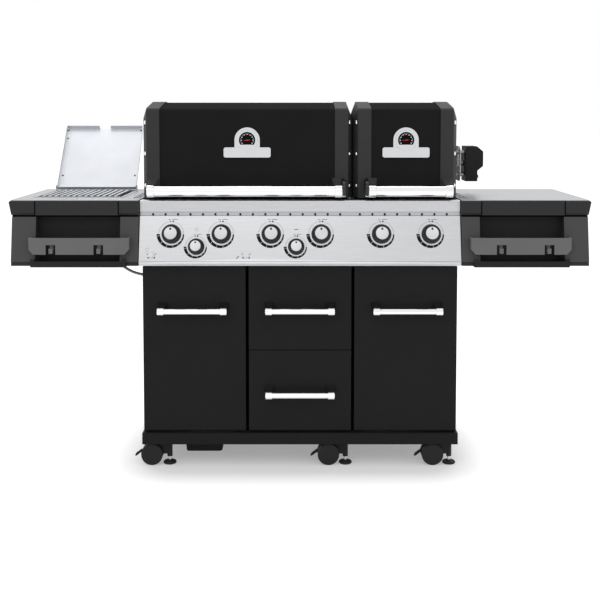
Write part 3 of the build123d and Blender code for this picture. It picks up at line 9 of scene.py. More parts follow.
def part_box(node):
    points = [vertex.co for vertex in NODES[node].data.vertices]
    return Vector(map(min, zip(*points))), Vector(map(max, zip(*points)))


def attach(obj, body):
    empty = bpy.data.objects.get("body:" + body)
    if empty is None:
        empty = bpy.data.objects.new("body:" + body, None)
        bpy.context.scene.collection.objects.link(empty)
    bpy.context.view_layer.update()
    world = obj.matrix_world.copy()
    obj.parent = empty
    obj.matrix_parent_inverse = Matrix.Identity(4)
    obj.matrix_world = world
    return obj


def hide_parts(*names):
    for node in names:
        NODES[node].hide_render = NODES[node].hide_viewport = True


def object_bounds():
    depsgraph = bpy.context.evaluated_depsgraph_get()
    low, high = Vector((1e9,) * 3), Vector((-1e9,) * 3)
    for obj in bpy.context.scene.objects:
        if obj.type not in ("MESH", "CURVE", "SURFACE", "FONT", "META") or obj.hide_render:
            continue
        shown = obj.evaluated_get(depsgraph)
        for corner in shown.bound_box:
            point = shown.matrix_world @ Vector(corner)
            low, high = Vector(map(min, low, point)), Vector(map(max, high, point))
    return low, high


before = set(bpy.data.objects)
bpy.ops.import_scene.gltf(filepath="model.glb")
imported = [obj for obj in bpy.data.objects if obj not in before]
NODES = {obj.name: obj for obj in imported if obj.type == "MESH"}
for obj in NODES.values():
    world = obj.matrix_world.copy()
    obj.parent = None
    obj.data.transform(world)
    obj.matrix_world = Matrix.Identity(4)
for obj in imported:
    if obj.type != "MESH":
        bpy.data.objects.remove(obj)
cad_box = [list(corner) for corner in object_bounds()]

# the design's y = 0 in the row frame: the shelf sheets start 6 mm behind it
Y0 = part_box("shelf_top_right")[0].y - 0.006


def place(x, y, z):
    """Design millimetres to the row frame's metres."""
    return Vector((x / 1000, y / 1000 + Y0, z / 1000))


# ---------------------------------------------------------------- camera
CAMERA_DISTANCE, CAMERA_HEIGHT = 3215, 1186         # mm from the design's origin
CAMERA_PITCH = 3.61                                 # degrees down
camera = bpy.data.objects.new("camera", bpy.data.cameras.new("camera"))
bpy.context.scene.collection.objects.link(camera)
bpy.context.scene.camera = camera
camera.data.sensor_width = 36
camera.data.lens = 58.47
camera.data.shift_y = -0.208
camera.location = place(0, -CAMERA_DISTANCE, CAMERA_HEIGHT)
camera.rotation_euler = (math.radians(90 - CAMERA_PITCH), 0, 0)

# ---------------------------------------------------------------- material helpers
def linear(value):
    value /= 255
    return value / 12.92 if value <= 0.04045 else ((value + 0.055) / 1.055) ** 2.4


def colour(red, green=None, blue=None):
    if green is None:
        green = blue = red
    return (linear(red), linear(green), linear(blue), 1)


class Shader:
    """A principled material whose inputs are wired to procedural textures."""

    def __init__(self, name, base, rough, metallic=0.0, specular=0.5):
        self.material = bpy.data.materials.new(name)
        self.material.use_nodes = True
        self.tree = self.material.node_tree
        self.bsdf = self.tree.nodes["Principled BSDF"]
        self.bsdf.inputs["Base Color"].default_value = base
        self.bsdf.inputs["Roughness"].default_value = rough
        self.bsdf.inputs["Metallic"].default_value = metallic
        self.bsdf.inputs["Specular IOR Level"].default_value = specular
        self.base, self.rough = base, rough
        self.coords = self.tree.nodes.new("ShaderNodeTexCoord").outputs["Object"]

    def link(self, a, b):
        self.tree.links.new(a, b)

    def noise(self, scale, detail=3.0, stretch=(1, 1, 1)):
        mapping = self.tree.nodes.new("ShaderNodeMapping")
        mapping.inputs["Scale"].default_value = stretch
        texture = self.tree.nodes.new("ShaderNodeTexNoise")
        texture.inputs["Scale"].default_value = scale
        texture.inputs["Detail"].default_value = detail
        self.link(self.coords, mapping.inputs["Vector"])
        self.link(mapping.outputs["Vector"], texture.inputs["Vector"])
        return texture.outputs["Fac"]

    def tint(self, factor, low, high):
        """Colour between base times low and base times high."""
        ramp = self.tree.nodes.new("ShaderNodeValToRGB")
        for stop, share, at in zip(ramp.color_ramp.elements, (low, high), (0.35, 0.65)):
            stop.position = at
            stop.color = [min(1, channel * share) for channel in self.base[:3]] + [1]
        self.link(factor, ramp.inputs["Fac"])
        self.link(ramp.outputs["Color"], self.bsdf.inputs["Base Color"])
        return self

    def roughen(self, factor, spread):
        span = self.tree.nodes.new("ShaderNodeMapRange")
        span.inputs["From Min"].default_value = 0.3
        span.inputs["From Max"].default_value = 0.7
        span.inputs["To Min"].default_value = self.rough - spread
        span.inputs["To Max"].default_value = self.rough + spread
        self.link(factor, span.inputs["Value"])
        self.link(span.outputs["Result"], self.bsdf.inputs["Roughness"])
        return self

    def bump(self, factor, strength, distance=0.001):
        node = self.tree.nodes.new("ShaderNodeBump")
        node.inputs["Strength"].default_value = strength
        node.inputs["Distance"].default_value = distance
        self.link(factor, node.inputs["Height"])
        self.link(node.outputs["Normal"], self.bsdf.inputs["Normal"])
        return self


def painted(name, base, rough=0.4, orange_peel=0.1, scale=420, specular=0.3, metallic=0.0):
    """Powder coat or enamel: slow tone changes, fine orange peel."""
    shader = Shader(name, base, rough, metallic, specular)
    peel = shader.noise(scale, 2)
    shader.tint(shader.noise(9, 4), 0.97, 1.03).roughen(shader.noise(30, 3), 0.04)
    shader.bump(peel, orange_peel, 0.0004)
    return shader.material


def brushed(name, base, rough, along, strength=0.06):
    """Brushed metal with its grain along one axis."""
    stretch = [1.0 if axis == along else 60.0 for axis in "xyz"]
    shader = Shader(name, base, rough, 1.0)
    grain = shader.noise(14, 6, stretch)
    shader.tint(grain, 0.95, 1.04).roughen(shader.noise(10, 5, stretch), 0.05).bump(grain, strength, 0.0003)
    return shader.material


def polished(name, base=238, rough=0.08):
    shader = Shader(name, colour(base, base, base + 1), rough, 1.0)
    shader.tint(shader.noise(5, 3), 0.97, 1.02).roughen(shader.noise(60, 4), 0.02)
    return shader.material


def moulded(name, base, rough=0.5, specular=0.35):
    """Fine-grained moulded plastic."""
    shader = Shader(name, base, rough, 0.0, specular)
    shader.tint(shader.noise(12, 3), 0.93, 1.07).roughen(shader.noise(90, 3), 0.05)
    return shader.bump(shader.noise(1300, 2), 0.08, 0.0003).material


def cast(name, base, rough=0.55, specular=0.3, metallic=0.0):
    """Cast metal: coarse skin under its coat."""
    shader = Shader(name, base, rough, metallic, specular)
    skin = shader.noise(650, 4)
    shader.tint(shader.noise(14, 5), 0.88, 1.12).roughen(shader.noise(40, 3), 0.07).bump(skin, 0.25, 0.0005)
    return shader.material


ENAMEL = painted("lid_enamel", colour(36), 0.85, 0.05, 260, 0.006)
LID_CAST = painted("lid_end_coat", colour(60), 0.55, 0.12, 700, 0.1)
CONSOLE = brushed("console_steel", colour(201, 202, 204), 0.34, "x", 0.03)
# painted shade and light on the console's one folded sheet: a darker lip and groove, and a lighter, less
# metallic hem
CONSOLE_LIP_SHADE = brushed("console_lip_shade", colour(193, 194, 196), 0.36, "x")
CONSOLE_GROOVE_SHADE = brushed("console_groove_shade", colour(175, 179, 182), 0.4, "x")
CONSOLE_HEM_LIGHT = painted("console_hem_light", colour(246, 247, 249), 0.4, 0.03, 500, 0.3, 0.15)
SHELF = brushed("shelf_steel", colour(174, 176, 179), 0.36, "x")
PRESSED = painted("pressed_steel", colour(219, 221, 225), 0.4, 0.05, 800, 0.4, 0.6)
# painted shade on the burner lid's one pressed sheet: a darker rim and darker sides
PRESSED_LIP_SHADE = painted("pressed_lip_shade", colour(210, 215, 219), 0.4, 0.05, 800, 0.4, 0.6)
PRESSED_SIDE_SHADE = painted("pressed_side_shade", colour(212, 215, 218), 0.4, 0.05, 800, 0.4, 0.6)
BLACK = painted("cart_coat", colour(34), 0.5, 0.12, 900, 0.08)
FRAME_GREY = painted("shelf_frame_coat", colour(54), 0.5, 0.12, 900, 0.12)
BAR_GREY = painted("tool_bar_coat", colour(112), 0.45, 0.1, 900, 0.2)
CHROME = polished("chrome")
STUD = polished("stud_metal", 225, 0.3)
# near-black: painted shade in gaps, chamfers and grooves; also the black of the burner lid's screws and of the
# rings under the lid bolts
GAP_SHADE_AND_SCREW_BLACK = moulded("gap_shade_and_screw_black", colour(6), 0.7, 0.02)
GAUGE = brushed("gauge_chrome", colour(206, 207, 209), 0.42, "x", 0.02)
KNOB_BLACK = moulded("knob_black", colour(30), 0.36, 0.3)
CAP_LIGHT = moulded("knob_cap", colour(236, 237, 238), 0.35, 0.4)
IRON = cast("cast_iron", colour(44), 0.7)
BURNER = brushed("burner_steel", colour(170), 0.4, "y")
GRATE = painted("grate_steel", colour(196, 198, 200), 0.35, 0.05, 800, 0.4, 0.7)
BURNER_PAN = cast("burner_pan", colour(16), 0.6, 0.1)
FIREBOX = cast("firebox_coat", colour(52), 0.6)
VALVE = cast("valve_metal", colour(180), 0.45, 0.5, 1.0)
ZINC = painted("zinc_sheet", colour(150), 0.45, 0.05, 300, 0.5, 0.8)
CASTER = moulded("caster_black", colour(45), 0.5, 0.12)
MOTOR = moulded("motor_black", colour(33), 0.5, 0.15)
HOSE = brushed("hose_metal", colour(120), 0.4, "z")
PRINT_BLACK = moulded("print_black", colour(20), 0.6, 0.1)
PRINT_GREY = moulded("print_grey", colour(120), 0.6, 0.2)
DIAL = moulded("dial_black", colour(14), 0.6, 0.05)
RED = moulded("signal_red", colour(196, 30, 32), 0.4, 0.4)

LOOKS = {
    "base_pan": BLACK, "cabinet_sides": BLACK, "cabinet_back": BLACK, "cabinet_dividers": BLACK,
    "console": CONSOLE, "gas_manifold": VALVE, "fireboxes": FIREBOX, "burners": BURNER,
    "heat_tents": BURNER, "cooking_grids": IRON, "grease_tray": ZINC, "shelf_frames": FRAME_GREY,
    "shelf_top_left": SHELF, "shelf_top_right": SHELF, "tool_bars": BAR_GREY, "side_burner": SHELF,
    "side_burner_grate": GRATE, "side_burner_lid": PRESSED, "gas_hose": HOSE, "rotisserie_motor": MOTOR,
}
ENDINGS = (
    ("_handle", CHROME), ("_shell", ENAMEL), ("_ends", LID_CAST), ("_gauge", GAUGE), ("_button", CAP_LIGHT),
)
STARTS = (("door_", BLACK), ("drawer_", BLACK), ("knob_", KNOB_BLACK), ("caster_", CASTER), ("brake_", CASTER))


def look_of(name):
    if name in LOOKS:
        return LOOKS[name]
    for ending, material in ENDINGS:
        if name.endswith(ending):
            return material
    for start, material in STARTS:
        if name.startswith(start):
            return material
    raise ValueError(name)


for name, node in NODES.items():
    node.data.materials.clear()
    node.data.materials.append(look_of(name))


def repaint(name, material, test):
    """Faces of a CAD node that pass the test on their centre and normal take another material."""
    mesh = NODES[name].data
    mesh.materials.append(material)
    index = len(mesh.materials) - 1
    for face in mesh.polygons:
        if test(face.center, face.normal):
            face.material_index = index


# where one CAD node changes its material, in the row frame's metres; several of these bounds mark painted
# light or shade rather than a change of coat
LEVELLER_STUD = (0.0125, 0.0245)
CHEEK = (0.697, 0.845)
RECESS_TOP = 0.843
SHELF_LIP_TOP = 0.72
FASCIA_GAP = (0.8435, 0.8505)
SHELF_TOP_SEAM_X = (0.54, 0.575)
BURNER_RECESS_TOP = 0.9 - 0.006
CONSOLE_LIP_LOW = 0.8595
CONSOLE_GROOVE_BAND = (0.846, 0.8585)
CONSOLE_HEM_TOP = 0.6985
MOTOR_CASE_X = (533 + 49 - 0.5) / 1000
LID_BAR_CLEAR = 0.0224                              # just outside the lid handle's bar
HANDLE_BAR_DEPTH = 0.0215                           # door and drawer handles, bar front to feet

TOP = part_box("side_burner_lid")[1].z
# painted shade: the burner lid's top rim and its sides take darker tones of the same steel
repaint("side_burner_lid", PRESSED_LIP_SHADE, lambda point, normal: point.z > TOP - 0.016)
repaint("side_burner_lid", PRESSED_SIDE_SHADE, lambda point, normal: abs(normal.x) > 0.7)
for name in NODES:
    if name.startswith("caster_hood_front"):
        repaint(name, STUD, lambda point, normal: (
            LEVELLER_STUD[0] < point.z < LEVELLER_STUD[1] and abs(normal.z) < 0.3))
# painted shade: the front faces of the cabinet dividers, in the gaps between doors and drawers, take the
# near-black tone
repaint("cabinet_dividers", GAP_SHADE_AND_SCREW_BLACK, lambda point, normal: normal.y < -0.8)
repaint("grease_tray", BLACK, lambda point, normal: normal.y < -0.8)
# painted shade: the chamfered edges of the doors and drawers take the near-black tone of the gaps
for name in ("door_left", "door_right", "drawer_upper", "drawer_lower"):
    repaint(name, GAP_SHADE_AND_SCREW_BLACK, lambda point, normal: -0.85 < normal.y < -0.3)

GLOSS_BLACK = moulded("gloss_black", colour(14), 0.25, 0.5)
# painted light: a lighter tone of the shelf frames' coat
CHEEK_PAINTED_LIGHT = painted("cheek_painted_light", colour(80), 0.5, 0.12, 900, 0.12)

# lid handles: cast feet, and a glossy black boss beside the lid's inner band
for side, (boss_low, boss_high) in (("left", (0.1385, 0.1525)), ("right", (0.215, 0.229))):
    axis = place(0, 8, 930)

    def off_bar(point, axis=axis):
        return math.hypot(point.y - axis.y, point.z - axis.z) > LID_BAR_CLEAR

    def on_boss(point, normal, low=boss_low, high=boss_high):
        return low < point.x < high and off_bar(point)

    repaint(f"lid_{side}_handle", LID_CAST, lambda point, normal: off_bar(point))
    repaint(f"lid_{side}_handle", GLOSS_BLACK, on_boss)

# door and drawer handles: dark feet behind the bar
for name in NODES:
    if name.endswith("_handle") and not name.startswith("lid_"):
        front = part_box(name)[0].y
        repaint(name, KNOB_BLACK, lambda point, normal: point.y > front + HANDLE_BAR_DEPTH)

# painted light: the sloping cheeks under the shelves take a lighter tone than the fascia, for the top light
# they catch
cheek_back = place(0, 12, 0).y
repaint("shelf_frames", CHEEK_PAINTED_LIGHT, lambda point, normal: (
    normal.y < -0.8 and CHEEK[0] < point.z < CHEEK[1] and cheek_back - 0.029 < point.y < cheek_back))

# painted shade: the recess behind the tool bar takes a darker tone; the lower lip in front takes the same dark
# tone
RECESS_SHADE_AND_DARK_LIP = painted("recess_shade_and_dark_lip", colour(44), 0.5, 0.12, 900, 0.08)
recess_front = place(0, -30, 0).y
recess_back = place(0, 13, 0).y
repaint("shelf_frames", RECESS_SHADE_AND_DARK_LIP, lambda point, normal: (
    normal.y < -0.8 and point.y > recess_back and point.z < RECESS_TOP))
repaint("shelf_frames", RECESS_SHADE_AND_DARK_LIP, lambda point, normal: point.y < recess_front and point.z < SHELF_LIP_TOP)
# painted shade: the front faces in the gap under the fascia take the near-black tone
repaint("shelf_frames", GAP_SHADE_AND_SCREW_BLACK, lambda point, normal: (
    normal.y < -0.8 and FASCIA_GAP[0] < point.z < FASCIA_GAP[1]))
# painted highlight: the lower lip's top face takes the cheeks' lighter tone
repaint("shelf_frames", CHEEK_PAINTED_LIGHT, lambda point, normal: (
    normal.z > 0.8 and point.z < SHELF_LIP_TOP and point.y < recess_front + 0.003))
# painted shade: the upright faces at the seam of each shelf top take the near-black tone
for side in ("left", "right"):
    repaint(f"shelf_top_{side}", GAP_SHADE_AND_SCREW_BLACK, lambda point, normal: (
        abs(normal.z) < 0.5 and SHELF_TOP_SEAM_X[0] < abs(point.x) < SHELF_TOP_SEAM_X[1]))
repaint("side_burner", BURNER_PAN, lambda point, normal: point.z < BURNER_RECESS_TOP)
# painted shade on the console's lip and groove, and painted light on its bottom hem
repaint("console", CONSOLE_LIP_SHADE, lambda point, normal: normal.y < -0.9 and point.z > CONSOLE_LIP_LOW)
repaint("console", CONSOLE_GROOVE_SHADE, lambda point, normal: (
    normal.y < -0.9 and CONSOLE_GROOVE_BAND[0] < point.z < CONSOLE_GROOVE_BAND[1]))
repaint("console", CONSOLE_HEM_LIGHT, lambda point, normal: point.z < CONSOLE_HEM_TOP and normal.y < -0.2)
repaint("rotisserie_motor", ZINC, lambda point, normal: point.x < MOTOR_CASE_X)

# ---------------------------------------------------------------- gas hose
HOSE_Y = 260
HOSE_ROUTE = [
    (-700, HOSE_Y, 844.7), (-700, HOSE_Y, 790), (-693, HOSE_Y, 730), (-671, HOSE_Y, 677),
    (-633, HOSE_Y, 635), (-584, HOSE_Y, 610), (-527.6, HOSE_Y, 603),
]
curve = bpy.data.curves.new("gas_hose_run", "CURVE")
curve.dimensions = "3D"
spline = curve.splines.new("NURBS")
spline.points.add(len(HOSE_ROUTE) - 1)
for point, target in zip(spline.points, HOSE_ROUTE):
    point.co = (*place(*target), 1)
spline.use_endpoint_u = True
spline.order_u = 3
spline.resolution_u = 12
curve.bevel_depth = 0.005
curve.bevel_resolution = 6
curve.use_fill_caps = True
curve.materials.append(HOSE)
hose = bpy.data.objects.new("gas_hose_run", curve)
bpy.context.scene.collection.objects.link(hose)
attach(hose, "cart")
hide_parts("gas_hose")

# ---------------------------------------------------------------- piece helpers
SLOPE = math.atan2(38, 154)                      # the console face leans back
FACE_UP = Vector((0, math.sin(SLOPE), math.cos(SLOPE)))
FACE_OUT = Vector((0, -math.cos(SLOPE), math.sin(SLOPE)))
RIGHT, FRONT, UP = Vector((1, 0, 0)), Vector((0, -1, 0)), Vector((0, 0, 1))


def on_face(x, z):
    """Point of the console's sloping face."""
    return place(x, -20 + (z - 692) * math.tan(SLOPE), z)


class Piece:
    """One mesh object gathered from plates, rings and turned forms."""

    def __init__(self, name, body, *materials, smooth=None):
        self.name, self.body, self.materials, self.smooth = name, body, materials, smooth
        self.points, self.faces, self.paints = [], [], []

    def add(self, points, faces, paint=0):
        start = len(self.points)
        self.points += points
        self.faces += [[start + index for index in face] for face in faces]
        self.paints += [paint] * len(faces)

    def plate(self, outline, origin, right, up, thick, paint=0, base=0.0):
        """Flat plate of a 2D outline in mm, its underside base mm off the origin's plane."""
        out = right.cross(up)
        count = len(outline)
        levels = (base, base + thick)
        points = [origin + (right * u + up * v + out * d) / 1000 for d in levels for u, v in outline]
        sides = [[i, (i + 1) % count, count + (i + 1) % count, count + i] for i in range(count)]
        self.add(points, [list(range(count, 2 * count)), *sides], paint)

    def arc(self, origin, right, up, start, end, radii, thick, paint=0):
        """Band along an arc in degrees; radii are (inner, outer) at its start and at its end."""
        steps = max(2, int(abs(end - start) / 6))
        inner, outer = [], []
        for step in range(steps + 1):
            share = step / steps
            turn = math.radians(start + (end - start) * share)
            low = radii[0][0] + (radii[1][0] - radii[0][0]) * share
            high = radii[0][1] + (radii[1][1] - radii[0][1]) * share
            inner.append((low * math.cos(turn), low * math.sin(turn)))
            outer.append((high * math.cos(turn), high * math.sin(turn)))
        out = right.cross(up)
        points = [origin + (right * u + up * v + out * thick) / 1000 for u, v in inner + outer]
        count = steps + 1
        order = 1 if end > start else -1
        self.add(points, [[i, count + i, count + i + 1, i + 1][::order] for i in range(steps)], paint)

    def turned(self, origin, axis, profile, paint=0, steps=32):
        """Form turned about an axis; the profile is (radius, height) in mm, closed at radius 0."""
        side = axis.orthogonal().normalized()
        other = axis.cross(side)
        points, faces = [], []
        for radius, rise in profile:
            for step in range(steps):
                turn = 2 * math.pi * step / steps
                around = side * radius * math.cos(turn) + other * radius * math.sin(turn)
                points.append(origin + (around + axis * rise) / 1000)
        for ring in range(len(profile) - 1):
            for step in range(steps):
                a, b = ring * steps + step, ring * steps + (step + 1) % steps
                faces.append([a, b, b + steps, a + steps])
        self.add(points, faces, paint)

    def done(self):
        mesh = bpy.data.meshes.new(self.name)
        mesh.from_pydata([tuple(point) for point in self.points], [], self.faces)
        for material in self.materials:
            mesh.materials.append(material)
        for face, paint in zip(mesh.polygons, self.paints):
            face.material_index = paint
        work = bmesh.new()
        work.from_mesh(mesh)
        bmesh.ops.remove_doubles(work, verts=work.verts, dist=1e-6)
        work.to_mesh(mesh)
        work.free()
        if self.smooth:
            mesh.shade_smooth()
            mesh.set_sharp_from_angle(angle=math.radians(self.smooth))
        piece = bpy.data.objects.new(self.name, mesh)
        bpy.context.scene.collection.objects.link(piece)
        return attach(piece, self.body)


TREES = {}


def hit(node, origin, direction):
    """First point and normal of a CAD node's surface along a ray."""
    if node not in TREES:
        mesh = NODES[node].data
        corners = [vertex.co for vertex in mesh.vertices]
        TREES[node] = BVHTree.FromPolygons(corners, [face.vertices for face in mesh.polygons])
    point, normal, _, _ = TREES[node].ray_cast(origin, direction)
    return point, normal


# ---------------------------------------------------------------- console prints
KNOBS = sorted(
    [(x, 787, 1.0) for x in (-427, -261.17, -95.33, 70.5, 271, 436)]
    + [(x, 746, 0.84) for x in (-344.08, -12.42)]
)
prints = Piece("console_prints", "cart", PRINT_BLACK, PRINT_GREY)
for x, z, scale in KNOBS:
    centre = on_face(x, z)
    gaps = (179, 188, 221, 249, 278, 302, 326, 360)
    for low, high in zip(gaps, gaps[1:]):
        width = [scale * (49.5 - 7.5 * max(0, (turn - 180) / 180) ** 1.3) for turn in (low, high)]
        inner = 38 * scale
        prints.arc(centre, RIGHT, FACE_UP, low + 0.7, high - 0.7, ((inner, width[0]), (inner, width[1])), 0.5)
    for start, end, radii in ((176, 104, ((42, 43), (42, 42.7))), (82, 4, ((42, 42.5), (40, 41)))):
        radii = [(inner * scale, outer * scale) for inner, outer in radii]
        prints.arc(centre, RIGHT, FACE_UP, start, end, radii, 0.25, 1)
    for turn, size in ((84, 2.4), (96, 2.2)):
        u, v = 42.5 * scale * math.cos(math.radians(turn)), 42.5 * scale * math.sin(math.radians(turn))
        box = [(u - size, v - size), (u + size, v - size), (u + size, v + size), (u - size, v + size)]
        prints.plate(box, centre, RIGHT, FACE_UP, 0.25, 0 if turn < 90 else 1)
    for low, high in ((-11, -3), (2, 20)):
        box = [(u * scale, v * scale) for u, v in ((low, 48.2), (high, 48.2), (high, 50), (low, 50))]
        prints.plate(box, centre, RIGHT, FACE_UP, 0.25, 1)
for x in (-492, -178.25):
    centre = on_face(x, 719)
    for turn, wide, paint in ((222, 12, 0), (318, 12, 0), (165, 7, 1), (15, 7, 1)):
        prints.arc(centre, RIGHT, FACE_UP, turn - wide, turn + wide, ((12, 15.5), (12, 15.5)), 0.5, paint)
bulb = on_face(-507, 738)
prints.arc(bulb, RIGHT, FACE_UP, -60, 240, ((4.2, 5), (4.2, 5)), 0.25, 1)
prints.plate([(-2, -8), (2, -8), (2, -6.5), (-2, -6.5)], bulb, RIGHT, FACE_UP, 0.25, 1)
spark = on_face(-206, 711)
prints.plate([(-5, -5), (-3.6, -5.6), (0, 0), (5, 4.6), (3.8, 5.6), (-2, 1.4)], spark, RIGHT, FACE_UP, 0.25)
ring = on_face(-344, 746 + 56)
prints.arc(ring, RIGHT, FACE_UP, 0, 360, ((4.6, 5.4), (4.6, 5.4)), 0.25, 1)
# painted shade: a thin grey line across the console's face along its fold above the hem
crease_shade_line = on_face(0, 698)
prints.plate([(-530, -0.5), (530, -0.5), (530, 0.5), (-530, 0.5)], crease_shade_line, RIGHT, FACE_UP, 0.25, 1)
hood = on_face(-12.5, 746 + 56)
hood_outline = [(-9, -1), (9, -1), (9, 0), (5, 0), (3, 2), (-3, 2), (-5, 0), (-9, 0)]
prints.plate(hood_outline, hood, RIGHT, FACE_UP, 0.25, 1)
prints.done()

# painted shade: dark discs on the console's groove stand for the shaded insides of its vent holes
VENT_Z = 851.5
VENT_ROWS = ((-490.0, 41.6, 16), (200, 41.4, 8))    # first x, pitch, count
vent_shade = Piece("console_vent_shade", "cart", PRINT_BLACK)
for x in [first + pitch * step for first, pitch, count in VENT_ROWS for step in range(count)]:
    spot, _ = hit("console", place(x, -60, VENT_Z), -FRONT)
    vent_shade.turned(spot + FRONT * 0.0001, FRONT, [(3.8, 0), (3.8, 0.3), (0, 0.3)], steps=16)
vent_shade.done()

# ---------------------------------------------------------------- knob caps and pointers
for number, (x, z, scale) in enumerate(KNOBS, start=1):
    name = f"knob_{number}"
    centre = on_face(x, z)
    limit = 21.8 * scale / 1000

    def on_cap(point, normal, centre=centre, limit=limit):
        offset = point - centre
        depth = offset.dot(FACE_OUT)
        return depth > 0.024 and (offset - FACE_OUT * depth).length < limit and normal.dot(FACE_OUT) > 0.3

    repaint(name, CAP_LIGHT, on_cap)
    spot, normal = hit(name, centre + FACE_UP * 0.0135 * scale + FACE_OUT * 0.1, -FACE_OUT)
    if spot:
        mark = Piece(f"knob_pointer_{number}", name, PRINT_BLACK)
        half = 2.9 * scale
        box = [(-half, -half), (half, -half), (half, half), (-half, half)]
        mark.plate(box, spot, RIGHT, normal.cross(RIGHT).normalized(), 1.2, 0, -0.6)
        mark.done()

# ---------------------------------------------------------------- painted shade in the fascia seams, burner lid screws and fold
# painted shade: thin near-black strips on the fascia stand for the shade in its grooves between segments
seam_shade = Piece("fascia_seam_shade", "cart", GAP_SHADE_AND_SCREW_BLACK)
for side in (-1, 1):
    for x in (602.5, 878.5):
        spot, _ = hit("shelf_frames", place(side * x, -80, 875), -FRONT)
        if spot:
            seam_shade.plate([(-1.6, -24), (1.6, -24), (1.6, 22), (-1.6, 22)], spot, RIGHT, UP, 0.3)
seam_shade.done()
screws = Piece("burner_lid_screws", "burner_lid", GAP_SHADE_AND_SCREW_BLACK, smooth=40)
low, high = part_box("side_burner_lid")
for x, z in ((low.x + 0.006, high.z - 0.02), (low.x + 0.008, high.z - 0.05), (high.x - 0.008, high.z - 0.02),
             (low.x + 0.012, low.z + 0.05), (high.x - 0.012, low.z + 0.05)):
    spot, normal = hit("side_burner_lid", Vector((x, low.y - 0.1, z)), -FRONT)
    if spot:
        screws.turned(spot, normal, [(3.4, 0), (3.0, 1.2), (1.5, 1.8), (0, 1.9)], steps=16)
screws.done()
# painted shade: a strip in the sides' darker tone along one edge of the burner lid's front stands for the
# shade of a fold
fold_shade = Piece("burner_lid_fold_shade", "burner_lid", PRESSED_SIDE_SHADE)
corners = []
left, right = low.x + 0.005, low.x + 0.019
bottom, top = low.z + 0.02, high.z - 0.024
for x, z in ((left, bottom), (right, bottom), (right, top), (left, top)):
    spot, normal = hit("side_burner_lid", Vector((x, low.y - 0.1, z)), -FRONT)
    corners.append(spot + normal * 0.0003)
fold_shade.add(corners, [[0, 1, 2, 3]])
fold_shade.done()

# ---------------------------------------------------------------- lid bolts
BOLT_INSET, BOLT_HEIGHTS = 10, (1156, 1051, 943)
for side, (low, high) in (("left", (-533, 177.5)), ("right", (180, 533))):
    bolts = Piece(f"lid_bolts_{side}", f"cooking_lid_{side}", CHROME, GAP_SHADE_AND_SCREW_BLACK, smooth=40)
    for x_out, towards in ((low, 1), (high, -1)):
        for z in BOLT_HEIGHTS:
            spot, normal = hit(f"lid_{side}_ends", place(x_out + towards * BOLT_INSET, -60, z), -FRONT)
            if spot:
                bolts.turned(spot, normal, [(10.5, 0), (10.5, 0.4), (0, 0.4)], 1, 24)
                bolts.turned(spot, normal, [(7.5, 0), (7.5, 1.2), (6, 3.2), (3, 4.2), (0, 4.5)], steps=24)
    bolts.done()

# ---------------------------------------------------------------- aprons
# plain sheets that hang under the firebox's front, behind the gaps above the doors
APRON_X, APRON_HALF_WIDTH = 0.351, 0.174
APRON_Y, APRON_Z = (-0.208, -0.2068), (0.662, 0.702)
for side, middle in (("left", -APRON_X), ("right", APRON_X)):
    apron = Piece(f"firebox_apron_{side}", "cart", BLACK)
    across = (-APRON_HALF_WIDTH, APRON_HALF_WIDTH)
    corners = [Vector((middle + x, y, z)) for x in across for y in APRON_Y for z in APRON_Z]
    apron.add(corners, [[0, 1, 3, 2], [4, 6, 7, 5], [0, 4, 5, 1], [2, 3, 7, 6], [0, 2, 6, 4], [1, 5, 7, 3]])
    apron.done()

# ---------------------------------------------------------------- motor switch
switch = Piece("motor_switch", "cart", RED, MOTOR)
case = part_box("rotisserie_motor")
spot, _ = hit("rotisserie_motor", Vector((case[1].x + 0.1, case[0].y + 0.013, 0.964)), -RIGHT)
switch.plate([(-9, -8), (9, -8), (9, 8), (-9, 8)], spot, -FRONT, UP, 1.2, 1)
switch.plate([(-6, -5), (6, -5), (6, 5), (-6, 5)], spot, -FRONT, UP, 5.0, 0)
switch.done()

# ---------------------------------------------------------------- thermometers
for side, middle in (("left", -177.75), ("right", 356.5)):
    centre = place(middle, 66, 1140 - 42.5)
    centre.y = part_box(f"lid_{side}_gauge")[0].y
    dial = Piece(f"gauge_dial_{side}", f"cooking_lid_{side}", DIAL, CAP_LIGHT, RED, smooth=30)
    back = centre - FRONT * 0.0035
    dial.turned(back, FRONT, [(27.4, 0), (27.4, 0.5), (0, 0.5)])
    for step in range(9):
        turn = 212 - 244 * step / 8
        dial.arc(back, RIGHT, UP, turn - 5, turn + 5, ((18.5, 21.5), (18.5, 21.5)), 0.8, 1)
        if step < 8:
            dial.arc(back, RIGHT, UP, turn - 14, turn - 16.5, ((20.5, 23), (20.5, 23)), 0.8, 1)
    turn = math.radians(187)
    u, v = Vector((math.cos(turn), math.sin(turn))), Vector((-math.sin(turn), math.cos(turn)))
    needle = [u * 17, v * 1.5 - u * 2, v * 1.3 - u * 9, -v * 1.3 - u * 9, -v * 1.5 - u * 2]
    dial.plate([tuple(point) for point in needle], back, RIGHT, UP, 0.4, 2, 1.0)
    dial.turned(back, FRONT, [(2.4, 0.5), (2.4, 2.0), (0, 2.2)], 2, 20)
    dial.done()

# ---------------------------------------------------------------- stage
world = bpy.data.worlds.new("studio")
bpy.context.scene.world = world
world.use_nodes = True
tree = world.node_tree
tree.nodes.clear()


def background_rays(nodes, links):
    """1 for the rays that see the background: camera, glossy and transmission rays."""
    path = nodes.new("ShaderNodeLightPath")
    shown = path.outputs["Is Camera Ray"]
    for ray in ("Is Glossy Ray", "Is Transmission Ray"):
        either = nodes.new("ShaderNodeMath")
        either.operation = "MAXIMUM"
        links.new(shown, either.inputs[0])
        links.new(path.outputs[ray], either.inputs[1])
        shown = either.outputs[0]
    return shown


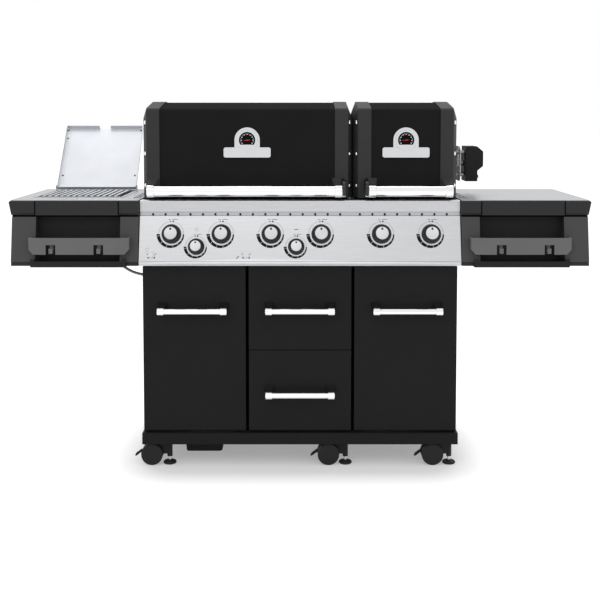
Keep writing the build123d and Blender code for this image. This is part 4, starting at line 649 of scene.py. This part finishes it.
def world_node(kind, **inputs):
    node = tree.nodes.new(kind)
    for key, value in inputs.items():
        node.inputs[key].default_value = value
    return node


fill = world_node("ShaderNodeBackground", Color=(0.81, 0.81, 0.82, 1))
backdrop = world_node("ShaderNodeBackground", Color=(1, 1, 1, 1))
final = world_node("ShaderNodeMixShader")
tree.links.new(background_rays(tree.nodes, tree.links), final.inputs[0])
tree.links.new(fill.outputs[0], final.inputs[1])
tree.links.new(backdrop.outputs[0], final.inputs[2])
output = world_node("ShaderNodeOutputWorld")
tree.links.new(final.outputs[0], output.inputs["Surface"])


def lamp(name, spot, target, size, power):
    light = bpy.data.lights.new(name, "AREA")
    light.shape, light.size, light.size_y, light.energy = "RECTANGLE", size[0], size[1], power
    holder = bpy.data.objects.new(name, light)
    bpy.context.scene.collection.objects.link(holder)
    holder.location = spot
    holder.rotation_euler = (Vector(target) - Vector(spot)).to_track_quat("-Z", "Y").to_euler()


lamp("top_light", (0, 1.0, 4.2), (0, 0, 0.4), (4.4, 2.6), 66)
lamp("front_light", (-1.0, -4.2, 3.7), (0, 0, 0.6), (3, 1.6), 22)

FLOOR_HALF = 40
FOOTPRINT_HALF = (0.41, 0.245, 0)
floor_mesh = bpy.data.meshes.new("floor")
floor_corners = [(x * FLOOR_HALF, y * FLOOR_HALF, 0) for x, y in ((-1, -1), (1, -1), (1, 1), (-1, 1))]
floor_mesh.from_pydata(floor_corners, [], [(0, 1, 2, 3)])
floor = bpy.data.objects.new("floor", floor_mesh)
bpy.context.scene.collection.objects.link(floor)
floor.location.z = cad_box[0][2] - 0.0005
ground = bpy.data.materials.new("floor")
ground.use_nodes = True
nodes, links = ground.node_tree.nodes, ground.node_tree.links
nodes.clear()
matt = nodes.new("ShaderNodeBsdfDiffuse")
matt.inputs["Color"].default_value = (0.66, 0.66, 0.66, 1)
glow = nodes.new("ShaderNodeEmission")
# the glow is weaker round the casters' footprint at rest, which darkens the floor there beyond the cast shadow
spot = nodes.new("ShaderNodeTexCoord")
last = spot.outputs["Object"]
for operation, operand in (
        ("ABSOLUTE", None), ("SUBTRACT", FOOTPRINT_HALF), ("MAXIMUM", (0, 0, 0)), ("LENGTH", None)):
    away = nodes.new("ShaderNodeVectorMath")
    away.operation = operation
    links.new(last, away.inputs[0])
    if operand:
        away.inputs[1].default_value = operand
    last = away.outputs[0]
grows = nodes.new("ShaderNodeMapRange")
for key, value in (("From Min", 0.09), ("From Max", 0.22), ("To Min", 0.31), ("To Max", 0.63)):
    grows.inputs[key].default_value = value
links.new(away.outputs["Value"], grows.inputs["Value"])
level = nodes.new("ShaderNodeMath")
level.operation = "MULTIPLY"
links.new(grows.outputs["Result"], level.inputs[1])
links.new(background_rays(nodes, links), level.inputs[0])
links.new(level.outputs[0], glow.inputs["Strength"])
both = nodes.new("ShaderNodeAddShader")
links.new(matt.outputs[0], both.inputs[0])
links.new(glow.outputs[0], both.inputs[1])
surface = nodes.new("ShaderNodeOutputMaterial")
links.new(both.outputs[0], surface.inputs["Surface"])
floor_mesh.materials.append(ground)

bpy.context.scene.view_settings.view_transform = "Standard"
